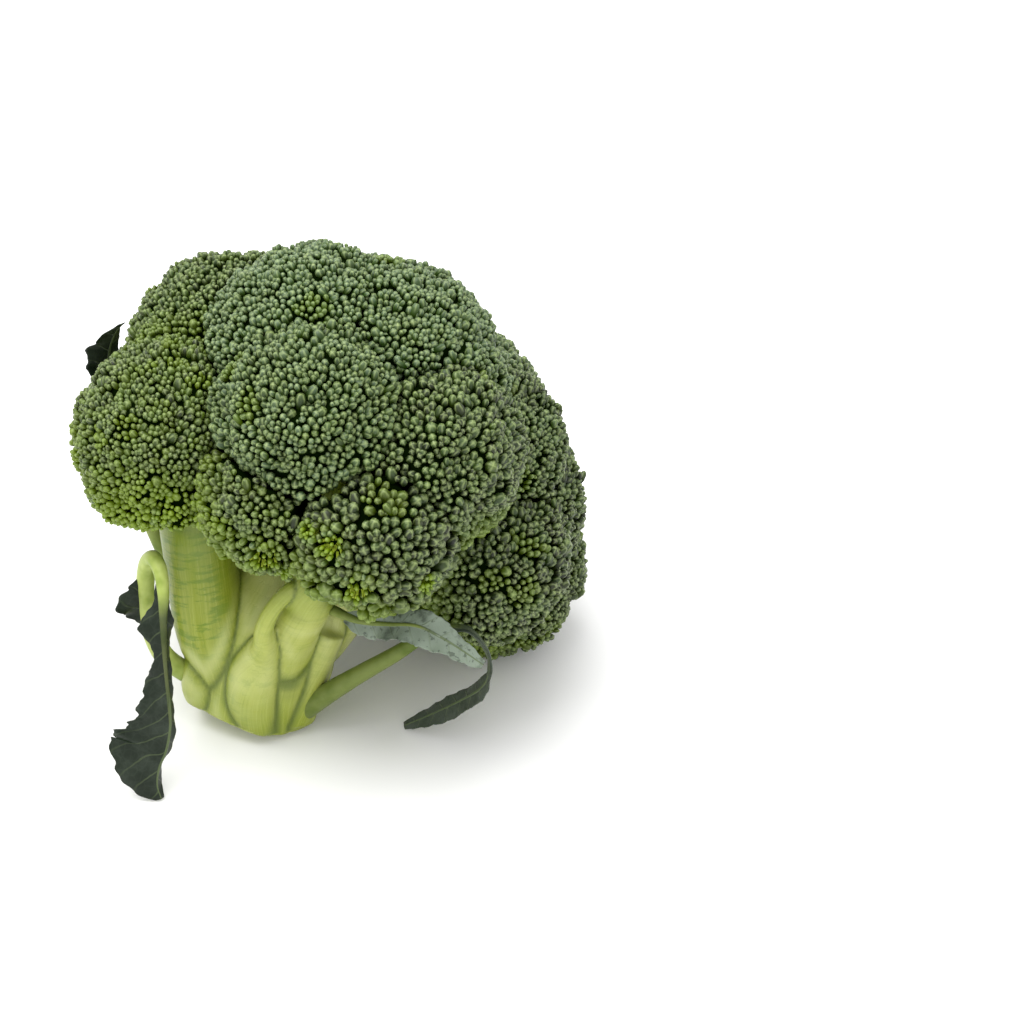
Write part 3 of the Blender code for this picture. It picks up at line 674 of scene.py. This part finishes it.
def stalkMaterial():
    n = Nodes("stalk_flesh")
    groove, cut, deep = n.value("groove"), n.value("cut"), n.value("deep")
    along = n.add("ShaderNodeCombineXYZ", X=n.value("around"), Y=n.value("along"), Z=0.0).outputs[0]
    streak = n.add("ShaderNodeMapping", Vector=along, Scale=(1.6, 0.05, 1.0)).outputs[0]
    fibre = n.noise(1.0, 4.0, 0.6, streak)
    bands = n.add("ShaderNodeMapping", Vector=along, Scale=(0.10, 0.45, 1.0)).outputs[0]
    band = n.noise(1.0, 5.0, 0.65, bands)
    broad = n.noise(38.0, 3.0, 0.5)
    uneven = n.plus(0.55, n.times(n.ramp(broad, 0.35, 0.68), 0.45))
    paleness = n.times(n.value("paleness"), uneven)
    colour = n.mix(paleness, stalkLook["flesh"], stalkLook["pale"])
    colour = n.mix(n.times(n.ramp(fibre, 0.45, 0.72), 0.45), colour, stalkLook["pale"])
    colour = n.mix(n.times(n.ramp(fibre, 0.50, 0.30), 0.25), colour, stalkLook["green"])
    mottle = n.times(n.ramp(band, 0.48, 0.60), n.ramp(broad, 0.36, 0.54))
    colour = n.mix(n.times(mottle, n.plus(0.3, n.times(n.value("mottled"), 0.7))),
                   colour, stalkLook["green"])
    colour = n.mix(n.times(deep, 0.8), colour, stalkLook["green"])
    # painted shade: darker in the creases where limbs meet
    colour = n.mix(n.times(groove, 0.9), colour, stalkLook["crease"])
    # painted highlight along the ridges beside the creases
    ridge = n.times(n.value("ridge"), n.ramp(broad, 0.30, 0.62))
    colour = n.mix(n.times(ridge, 0.6), colour, stalkLook["ridgeHighlight"])
    rings = n.noise(300.0, 3.0)
    colour = n.mix(cut, colour, n.mix(n.ramp(rings, 0.3, 0.8), stalkLook["flesh"], stalkLook["cut"]))
    speck = n.add("ShaderNodeTexVoronoi", Vector=n.place(), Scale=130.0)
    dots = n.math("LESS_THAN", speck.outputs["Distance"], 0.03)
    colour = n.mix(n.times(dots, 0.8), colour, stalkLook["speck"])
    n.bump(n.plus(n.times(fibre, 0.6), n.times(band, 0.7)), 0.0004, 0.6)
    for key, value in stalkLook["inside"].items():
        n.shader.inputs["Subsurface " + key].default_value = value
    return n.finish(colour, stalkLook["roughness"], 0.45)


leafLook = {
    "blade": (0.007, 0.013, 0.006),
    "light": (0.195, 0.24, 0.185),
    "vein": (0.10, 0.135, 0.055),
    "stalk": (0.40, 0.47, 0.13),
    "ripeStalk": (0.048, 0.075, 0.010),
    "veinSpacing": 6.5,                  # mm
    "roughness": 0.42,
}


def leafMaterial():
    n = Nodes("leaf_green")
    across, along, wide = n.value("across"), n.value("along"), n.value("wide")
    pale, paler, share = n.value("pale"), n.value("light"), n.value("share")
    off = n.math("ABSOLUTE", across)
    away = n.times(off, wide)
    slant = n.minus(along, n.times(away, 0.75))
    turn = n.plus(n.math("DIVIDE", slant, leafLook["veinSpacing"]),
                  n.times(n.math("LESS_THAN", across, 0.0), 0.4))
    wander = n.times(n.minus(n.noise(160.0, 2.0), 0.5), 0.35)
    cycle = n.math("FRACT", n.plus(turn, wander))
    line = n.times(n.math("ABSOLUTE", n.minus(cycle, 0.5)), leafLook["veinSpacing"])
    side = n.times(n.ramp(line, 0.42, 0.10), n.minus(1.0, n.times(off, 0.75)))
    ribWidth = n.minus(1.25, share)
    rib = n.ramp(n.math("DIVIDE", away, n.math("MAXIMUM", ribWidth, 0.15)), 0.9, 0.45)
    net = n.add("ShaderNodeTexVoronoi", set_feature="DISTANCE_TO_EDGE", Vector=n.place(), Scale=420.0)
    web = n.times(n.ramp(net.outputs["Distance"], 0.10, 0.02), 0.22)
    vein = n.math("MAXIMUM", rib, n.times(side, 0.5))
    mottle = n.noise(140.0, 4.0, 0.6)
    colour = n.mix(n.times(n.ramp(mottle, 0.35, 0.75), 0.09), leafLook["blade"], leafLook["light"])
    speck = n.ramp(n.noise(620.0, 3.0, 0.55), 0.56, 0.66)
    spots = n.math("MAXIMUM", n.times(n.ramp(mottle, 0.50, 0.64), 0.6), n.times(speck, 0.55))
    greyer = n.times(paler, n.minus(1.0, spots))
    colour = n.mix(greyer, colour, leafLook["light"])
    colour = n.mix(n.times(web, 0.1), colour, leafLook["light"])
    colour = n.mix(n.times(vein, 0.8), colour, leafLook["vein"])
    flesh = n.mix(n.ramp(n.noise(90.0, 3.0), 0.35, 0.75), leafLook["stalk"], stalkLook["green"])
    flesh = n.mix(n.times(n.value("ripe"), 0.85), flesh, leafLook["ripeStalk"])
    colour = n.mix(pale, colour, flesh)
    raised = n.plus(n.times(vein, -1.0), n.times(n.noise(420.0, 3.0), 0.7))
    n.bump(raised, 0.0004, 0.6)
    return n.finish(colour, leafLook["roughness"], 0.2)


def tubeShape(rows, sides):
    centres, radii = rows[:, :3], rows[:, 3]
    points, aside = [], np.array([0.0, 1.0, 0.0])
    for i in range(len(rows)):
        along = unit(centres[min(i + 1, len(rows) - 1)] - centres[max(i - 1, 0)])
        aside = unit(aside - along * (aside @ along))
        across = np.cross(along, aside)
        angle = 2.0 * math.pi * np.arange(sides) / sides
        ring = np.cos(angle)[:, None] * aside + np.sin(angle)[:, None] * across
        points.append(centres[i] + radii[i] * ring)
    points.append(centres[:1])
    points.append(centres[-1:])
    points = np.concatenate(points)
    faces, foot, head = sideFaces(len(rows), sides), len(points) - 2, len(points) - 1
    last = (len(rows) - 1) * sides
    for k in range(sides):
        faces.append(((k + 1) % sides, k, foot))
        faces.append((last + k, last + (k + 1) % sides, head))
    return points, np.array(faces)


def stalkTubes():
    tubes = [smoothPath(stalkPlan["trunk"], 6)]
    for knot, rows in stalkPlan["knots"].items():
        end, radius = np.array(rows[-1][:3]), rows[-1][3]
        onward = unit(end - np.array(rows[-2][:3]))
        rounded = [(*(end + onward * radius * step), radius * share)
                   for step, share in stalkPlan["rounding"]]
        tubes.append(smoothPath((*rows, *rounded), 6))
        for name in stalkPlan["fedBy"][knot]:
            own = florets[name]
            end = own["centre"] + undersideOf(name) * (crown["underside"] * own["radius"] - 1.0)
            root = np.array(rows[-1][:3])
            root = root - 0.25 * rows[-1][3] * unit(end - root)
            tubes.append(smoothPath([(*root, stalkPlan["twig"][0]), (*end, stalkPlan["twig"][1])], 6))
    for rows in stalkPlan["scars"].values():
        tubes.append(smoothPath(rows, 6))
    return tubes


def remeshed(name, tubes, voxel, smoothing):
    parts = [(*tubeShape(rows, 28), {}) for rows in tubes]
    points, triangles, _ = joinParts(parts)
    made = meshOf(name, points, triangles)
    wrap = made.modifiers.new("wrap", "REMESH")
    wrap.mode = "VOXEL"
    wrap.voxel_size = voxel * mm
    soften = made.modifiers.new("soften", "SMOOTH")
    soften.factor = 0.5
    soften.iterations = smoothing
    bpy.context.view_layer.update()
    graph = bpy.context.evaluated_depsgraph_get()
    made.data = bpy.data.meshes.new_from_object(made.evaluated_get(graph))
    made.modifiers.clear()
    return made


def tubeDistances(places, tubes):
    # for each point: how far outside each tube, and where along and around it
    away = np.full((len(tubes), len(places)), far)
    along, around = np.zeros((2, len(tubes), len(places)))
    for i, rows in enumerate(tubes):
        run = 0.0
        for a, b in zip(rows[:-1], rows[1:]):
            line = b[:3] - a[:3]
            length = np.linalg.norm(line)
            t = np.clip(((places - a[:3]) @ line) / length ** 2, 0.0, 1.0)
            off = places - a[:3] - t[:, None] * line
            distance = np.linalg.norm(off, axis=1) - (a[3] + t * (b[3] - a[3]))
            aside = unit(np.cross(line, (0.0, 1.0, 0.2)))
            across = np.cross(unit(line), aside)
            closer = distance < away[i]
            away[i][closer] = distance[closer]
            along[i][closer] = (run + t * length)[closer]
            around[i][closer] = np.arctan2(off @ across, off @ aside)[closer] * b[3]
            run += length
    return away, along, around


def readMesh(item, key):
    found = np.empty(len(item.data.vertices) * 3, np.float32)
    item.data.vertices.foreach_get(key, found)
    return found.reshape(-1, 3).astype(float)


def giveValues(item, values):
    for key, value in values.items():
        layer = item.data.attributes.new(key, "FLOAT", "POINT")
        layer.data.foreach_set("value", np.asarray(value, np.float32))


def stalkPiece():
    tubes = stalkTubes()
    made = remeshed("stalk_flesh", tubes, stalkPlan["voxel"] * (1.0), 5)
    places = readMesh(made, "co") / mm - np.array(crown["moved"])
    normals = readMesh(made, "normal")
    away, along, around = tubeDistances(places, tubes)
    order = np.argsort(away, axis=0)[:2]
    columns = np.arange(len(places))
    gap = away[order[1], columns] - away[order[0], columns]
    groove = np.exp(-(gap / stalkPlan["grooveWidth"]) ** 2)
    places = places - normals * (stalkPlan["grooveDepth"] * groove)[:, None]
    cut = np.zeros(len(places), bool)
    for lean, towards, spot in stalkPlan["cutFaces"]:
        facing = np.array([math.sin(lean) * math.cos(towards), math.sin(lean) * math.sin(towards),
                           math.cos(lean)])
        below = (places - np.array(spot)) @ facing
        cut |= below < 0.2
        places = places - np.minimum(below, 0.0)[:, None] * facing
    places[:, 2] = np.maximum(places[:, 2], footOnFloor)
    moved = (places + np.array(crown["moved"])) * mm
    made.data.vertices.foreach_set("co", moved.astype(np.float32).ravel())
    made.data.update()
    made.data.shade_smooth()
    # ridge: where the painted highlight runs beside each crease
    ridge = np.exp(-((gap - stalkPlan["ridgeAway"]) / stalkPlan["ridgeWidth"]) ** 2)
    leftLimb = (np.clip((-places[:, 0] - 2.0) / 8.0, 0.0, 1.0)
                * np.clip((places[:, 2] - 22.0) / 12.0, 0.0, 1.0))
    fromFront = np.linalg.norm(places - np.array(stalkPlan["frontMottle"]), axis=1)
    giveValues(made, {
        "groove": groove * (1.0 - cut),
        "ridge": ridge * (1.0 - cut) * np.clip((66.0 - places[:, 2]) / 30.0, 0.0, 1.0),
        "cut": cut.astype(float),
        "deep": np.clip((places[:, 2] - 48.0) / 30.0, 0.0, 1.0),
        "mottled": np.maximum(leftLimb, 0.9 * np.exp(-(fromFront / 8.0) ** 2)),
        "paleness": (np.clip((places[:, 0] + 7.0) / 9.0, 0.15, 1.0)
                     * np.clip((places[:, 2] - 2.0) / 14.0, 0.15, 1.0)),
        "along": along[order[0], columns],
        "around": around[order[0], columns],
    })
    return made


# leafstalk x, y, z and radius; blade midrib x, y, z with its width to each side; the directions of the two
# halves at the foot and the tip; how wavy, pale, ripe and toothed it is, and where the leafstalk darkens
leafPlan = {
    "leaf_left": {
        "stalk": ((-17.0, -5.0, 12.0, 3.3), (-26.0, -9.0, 24.5, 3.1), (-29.8, -10.0, 41.0, 2.9),
                  (-28.9, -12.0, 57.8, 2.7), (-26.3, -16.0, 65.2, 2.5), (-23.8, -21.0, 64.8, 2.2),
                  (-22.6, -26.0, 60.0, 1.8), (-22.7, -29.5, 53.5, 1.2), (-22.6, -33.5, 43.5, 0.7),
                  (-22.0, -36.8, 30.0, 0.5), (-21.7, -39.4, 20.0, 0.35)),
        "rows": ((-23.0, -24.5, 62.0, 2.0, 2.0), (-22.8, -28.0, 56.0, 3.4, 3.0),
                 (-23.0, -31.0, 50.5, 7.0, 5.0), (-22.6, -33.5, 43.5, 3.4, 3.2),
                 (-22.2, -35.5, 34.0, 6.0, 2.4), (-21.6, -37.5, 27.5, 9.5, 2.4),
                 (-21.6, -39.5, 20.0, 12.5, 2.6), (-23.0, -41.5, 13.0, 16.0, 3.0),
                 (-25.2, -43.5, 8.0, 15.5, 3.2), (-26.0, -45.5, 3.0, 8.5, 2.8),
                 (-25.0, -46.5, -1.6, 1.6, 1.2)),
        "spread": (((-0.9, 0.35, 0.25), (0.5, 0.85, 0.0)), ((-0.97, -0.2, 0.1), (0.35, 0.92, 0.1))),
        "wave": 1.5, "light": 0.0, "ripe": 0.0, "teeth": 0.055, "fade": 0.60,
        # blade that runs up the outside of the leafstalk
        "flap": {
            "rows": ((-30.0, -11.0, 36.0, 1.0, 0.6), (-30.4, -11.6, 42.0, 5.0, 0.6),
                     (-30.2, -12.0, 47.0, 8.0, 0.6), (-29.8, -12.2, 51.0, 6.0, 0.6),
                     (-29.3, -12.6, 55.5, 1.2, 0.6)),
            "spread": (((-0.95, -0.35, -0.2), (1.0, 0.0, 0.0)), ((-0.9, -0.3, 0.5), (1.0, 0.0, 0.0))),
            "wave": 2.6, "light": 0.0, "teeth": 0.12,
        },
    },
    "leaf_front": {
        "stalk": ((20.0, -12.0, 45.0, 2.2), (26.0, -19.0, 48.6, 1.7), (31.5, -25.2, 50.4, 1.3),
                  (36.5, -29.3, 51.6, 1.0), (44.0, -34.0, 54.1, 0.8), (52.0, -37.5, 56.2, 0.6),
                  (59.0, -40.5, 54.5, 0.4)),
        "rows": ((31.0, -24.8, 50.2, 1.6, 1.6), (36.0, -29.0, 51.4, 3.6, 4.2), (44.0, -34.0, 54.2, 4.8, 5.0),
                 (52.0, -37.5, 56.2, 5.2, 5.6), (59.0, -40.5, 54.4, 4.8, 5.2), (65.5, -42.0, 50.5, 3.6, 4.0),
                 (71.5, -42.0, 45.3, 1.2, 1.2)),
        "spread": (((-0.25, 0.6, 0.75), (0.3, -0.85, -0.4)), ((0.4, 0.8, 0.4), (-0.4, -0.8, -0.4))),
        "wave": 1.6, "light": 1.0, "ripe": 0.8, "teeth": 0.05, "fade": 0.85,
    },
    "leaf_right": {
        "stalk": ((14.0, -10.5, 3.0, 4.2), (22.5, -13.5, 11.8, 3.4), (33.0, -15.5, 21.0, 2.8),
                  (46.0, -18.5, 32.3, 2.3), (55.5, -21.8, 42.2, 1.7), (62.5, -25.8, 47.0, 1.2),
                  (68.5, -29.9, 48.0, 0.9), (73.0, -32.0, 41.5, 0.7), (73.1, -32.0, 34.0, 0.5)),
        "rows": ((57.0, -22.5, 43.2, 1.4, 1.4), (62.8, -26.0, 47.2, 2.0, 2.0), (68.6, -30.0, 48.0, 2.4, 2.2),
                 (73.2, -32.0, 41.5, 2.5, 2.3), (73.2, -32.0, 34.0, 2.6, 2.5), (70.5, -28.5, 26.0, 3.4, 3.2),
                 (64.5, -22.0, 16.5, 4.2, 3.4), (56.0, -17.0, 7.6, 3.8, 3.2), (47.0, -12.5, -0.6, 1.2, 1.2)),
        "spread": (((0.1, -0.9, 0.4), (-0.1, 0.9, -0.4)), ((0.35, -0.85, -0.35), (-0.2, 0.9, 0.35))),
        "wave": 0.7, "light": 0.2, "ripe": 0.85, "teeth": 0.04, "fade": 0.6,
    },
    "leaf_back": {
        "stalk": ((-13.0, 10.0, 14.0, 3.2), (-26.0, 26.0, 34.0, 3.0), (-38.0, 37.5, 60.0, 2.6),
                  (-42.0, 39.2, 76.0, 2.0)),
        "rows": ((-39.0, 38.0, 66.0, 2.0, 1.6), (-41.5, 39.0, 80.0, 4.4, 2.4),
                 (-42.5, 38.5, 93.0, 6.4, 3.0), (-41.5, 36.5, 104.0, 7.4, 3.2),
                 (-39.0, 34.5, 112.0, 6.4, 2.6), (-36.6, 33.0, 116.0, 2.2, 1.6)),
        "spread": (((-0.6, -0.75, 0.1), (0.6, 0.75, 0.1)), ((-0.75, -0.6, 0.25), (0.75, 0.6, 0.2))),
        "wave": 1.3, "light": 0.0, "ripe": 0.6, "teeth": 0.05, "fade": 0.9,
    },
    "thickness": 0.5,                    # mm, at the middle of a blade
    "steps": 12,                         # how finely a blade is drawn along and across
    "columns": 14,
}


def bladeShape(leaf, seed):
    rng = np.random.default_rng(seed)
    steps, half = ((leafPlan["steps"], leafPlan["columns"]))
    rows = smoothPath(leaf["rows"], steps)
    columns = 2 * half + 1
    offsets = (np.arange(columns) - half) / half
    run = np.concatenate([[0.0], np.cumsum(np.linalg.norm(np.diff(rows[:, :3], axis=0), axis=1))])
    phase = rng.uniform(0.0, 6.0, 4)
    upper, lower, marks = [], [], []
    for i, (x, y, z, left, right) in enumerate(rows):
        share = i / (len(rows) - 1)
        along = unit(rows[min(i + 1, len(rows) - 1), :3] - rows[max(i - 1, 0), :3])
        halves = []
        for side in (0, 1):
            foot, tip = (np.array(leaf["spread"][end][side]) for end in (0, 1))
            spread = (1.0 - share) * foot + share * tip
            halves.append(unit(spread - along * (spread @ along)))
        for offset in offsets:
            isLeft = offset < 0
            sideways, width = (halves[0], left) if isLeft else (halves[1], right)
            outward = sideways if isLeft else -sideways
            tilted = unit(halves[0] - halves[1]) + 0.35 * outward * abs(offset)
            turnedUp = unit(np.cross(along, tilted))
            jag = (math.sin(run[i] * 1.05 + phase[0] + 2.0 * isLeft)
                   + 0.6 * math.sin(run[i] * 2.3 + phase[1]))
            tooth = 1.0 + leaf["teeth"] * abs(offset) ** 3 * jag
            swell = (math.sin(run[i] * 0.32 + 1.7 * (1 if offset > 0 else -1))
                     + 0.4 * math.sin(run[i] * 0.9 + phase[2]))
            wave = leaf["wave"] * offset ** 2 * min(1.0, width / 6.0) * swell
            midrib = math.exp(-(offset * width / (0.25 + 0.75 * (1.0 - share))) ** 2)
            place = np.array([x, y, z]) + sideways * width * abs(offset) * tooth + turnedUp * wave
            thick = leafPlan["thickness"] * (0.5 + 0.5 * (1.0 - offset ** 2)) + 0.5 * midrib * (1.0 - share)
            upper.append(place + turnedUp * thick / 2.0)
            lower.append(place - turnedUp * thick / 2.0)
            marks.append((offset, run[i], width, share))
    count = len(rows) * columns
    faces = []
    for i in range(len(rows) - 1):
        for k in range(columns - 1):
            a, b = i * columns + k, i * columns + k + 1
            c, d = a + columns, b + columns
            faces += [(a, d, b), (a, c, d), (count + a, count + b, count + d),
                      (count + a, count + d, count + c)]
    rim = list(range(columns)) + [i * columns + columns - 1 for i in range(1, len(rows))]
    rim += [(len(rows) - 1) * columns + k for k in range(columns - 2, -1, -1)]
    rim += [i * columns for i in range(len(rows) - 2, 0, -1)]
    for a, b in zip(rim, rim[1:] + rim[:1]):
        faces += [(a, b, count + b), (a, count + b, count + a)]
    points = np.array(upper + lower)
    points[:, 2] = np.maximum(points[:, 2], footOnFloor)
    doubled = 2 * count
    marks = np.array(marks + marks)
    values = {"across": marks[:, 0], "along": marks[:, 1], "wide": marks[:, 2], "share": marks[:, 3],
              "pale": np.zeros(doubled), "light": np.full(doubled, leaf["light"]), "ripe": np.zeros(doubled)}
    return points, np.array(faces), values


def leafPiece(name, seed):
    leaf = leafPlan[name]
    blade = bladeShape(leaf, seed)
    rows = smoothPath(leaf["stalk"], 8)
    points, faces = tubeShape(rows, 20)
    size = len(points)
    still = np.zeros(size)
    share = np.repeat(np.arange(len(rows)) / (len(rows) - 1), (size - 2) // len(rows))
    pale = 1.0 - (np.concatenate([share, [0.0, 1.0]]) - leaf["fade"]) / 0.12
    leafstalk = (points, faces, {"across": still + 1.0, "along": still, "wide": still + 9.0, "share": still,
                                 "pale": np.clip(pale, 0.15, 1.0), "light": still + leaf["light"],
                                 "ripe": still + leaf["ripe"]})
    parts = [blade, leafstalk]
    if "flap" in leaf:
        parts.append(bladeShape(leaf["flap"], seed + 10))
    return meshOf(name + "_fine", *joinParts(parts))


def putInPlace(piece, name, material):
    piece.data.materials.append(material)
    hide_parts(name)
    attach(piece, "root")
    count = len(piece.data.loops) - 2 * len(piece.data.polygons)
    stage("%s: %d triangles" % (name, count))
    return count


budSurface = budMaterial()
flesh = stalkMaterial()
green = leafMaterial()
budTotal = triangleTotal = 0
for order, name in enumerate(florets):
    buds, count, reachOf = budPiece(name, order)
    piece = meshOf(name + "_buds", *joinParts([buds, corePiece(name, order, reachOf)]))
    budTotal += count
    triangleTotal += putInPlace(piece, name, budSurface)
triangleTotal += putInPlace(stalkPiece(), "stalk", flesh)
for seed, name in enumerate(("leaf_left", "leaf_front", "leaf_right", "leaf_back")):
    triangleTotal += putInPlace(leafPiece(name, seed), name, green)
stage("%d buds and %d triangles in all" % (budTotal, triangleTotal))


view = {
    "elevation": math.radians(35.0),
    "distance": 1.1,                     # metres
    "across": 0.3072,                    # metres seen across at the middle of the crown
    "aim": (80.0, 57.9),                 # mm to the right and up in the view, from the stalk's foot
    "depthOf": (25.0, 14.0, 80.0),       # the point that the distance is counted to
}
room = {
    "floor": (0.88, 0.88, 0.877),
    "air": 1.2,
    # size and place in metres, power in watts
    "lights": {"key": (1.7, 29.0, (-0.42, 0.0, 1.62)), "fill": (1.2, 2.5, (0.2, -1.8, 0.8))},
    "lightsFace": (0.0, 0.0, 0.05),
}


def addFloor():
    bpy.ops.mesh.primitive_plane_add(size=8.0, location=(0.0, 0.0, 0.0))
    floor = bpy.context.object
    floor.name = "pale_floor"
    n = Nodes("pale_floor")
    floor.data.materials.append(n.finish(room["floor"], 0.75, 0.2))


def addLight(name, size, power, place):
    light = bpy.data.lights.new(name, "AREA")
    light.shape = "DISK"
    light.size = size
    light.energy = power
    made = bpy.data.objects.new(name, light)
    made.location = place
    bpy.context.scene.collection.objects.link(made)
    x, y, z = np.array(room["lightsFace"]) - np.array(place)
    made.rotation_euler = (math.atan2(math.hypot(x, y), -z), 0.0, math.atan2(y, x) - math.pi / 2)


def addCamera():
    e = view["elevation"]
    forward = np.array([0.0, math.cos(e), -math.sin(e)])
    upward = np.array([0.0, math.sin(e), math.cos(e)])
    depth = forward @ np.array(view["depthOf"]) - view["distance"] / mm
    place = np.array([view["aim"][0], 0.0, 0.0]) + upward * view["aim"][1] + forward * depth
    place = (place + np.array(crown["moved"])) * mm
    data = bpy.data.cameras.new("camera")
    data.sensor_width = 36.0
    data.lens = 36.0 * view["distance"] / view["across"]
    data.clip_end = 20.0
    made = bpy.data.objects.new("camera", data)
    made.location = place.tolist()
    made.rotation_euler = (math.pi / 2 - e, 0.0, 0.0)
    bpy.context.scene.collection.objects.link(made)
    bpy.context.scene.camera = made


addFloor()
for name, light in room["lights"].items():
    addLight(name, *light)
world = bpy.data.worlds.new("soft_room")
world.use_nodes = True
air = world.node_tree.nodes["Background"].inputs
air["Color"].default_value = (1.0, 1.0, 1.0, 1.0)
air["Strength"].default_value = room["air"]
bpy.context.scene.world = world
bpy.context.scene.view_settings.view_transform = "Standard"
addCamera()
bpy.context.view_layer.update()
stage("ready")
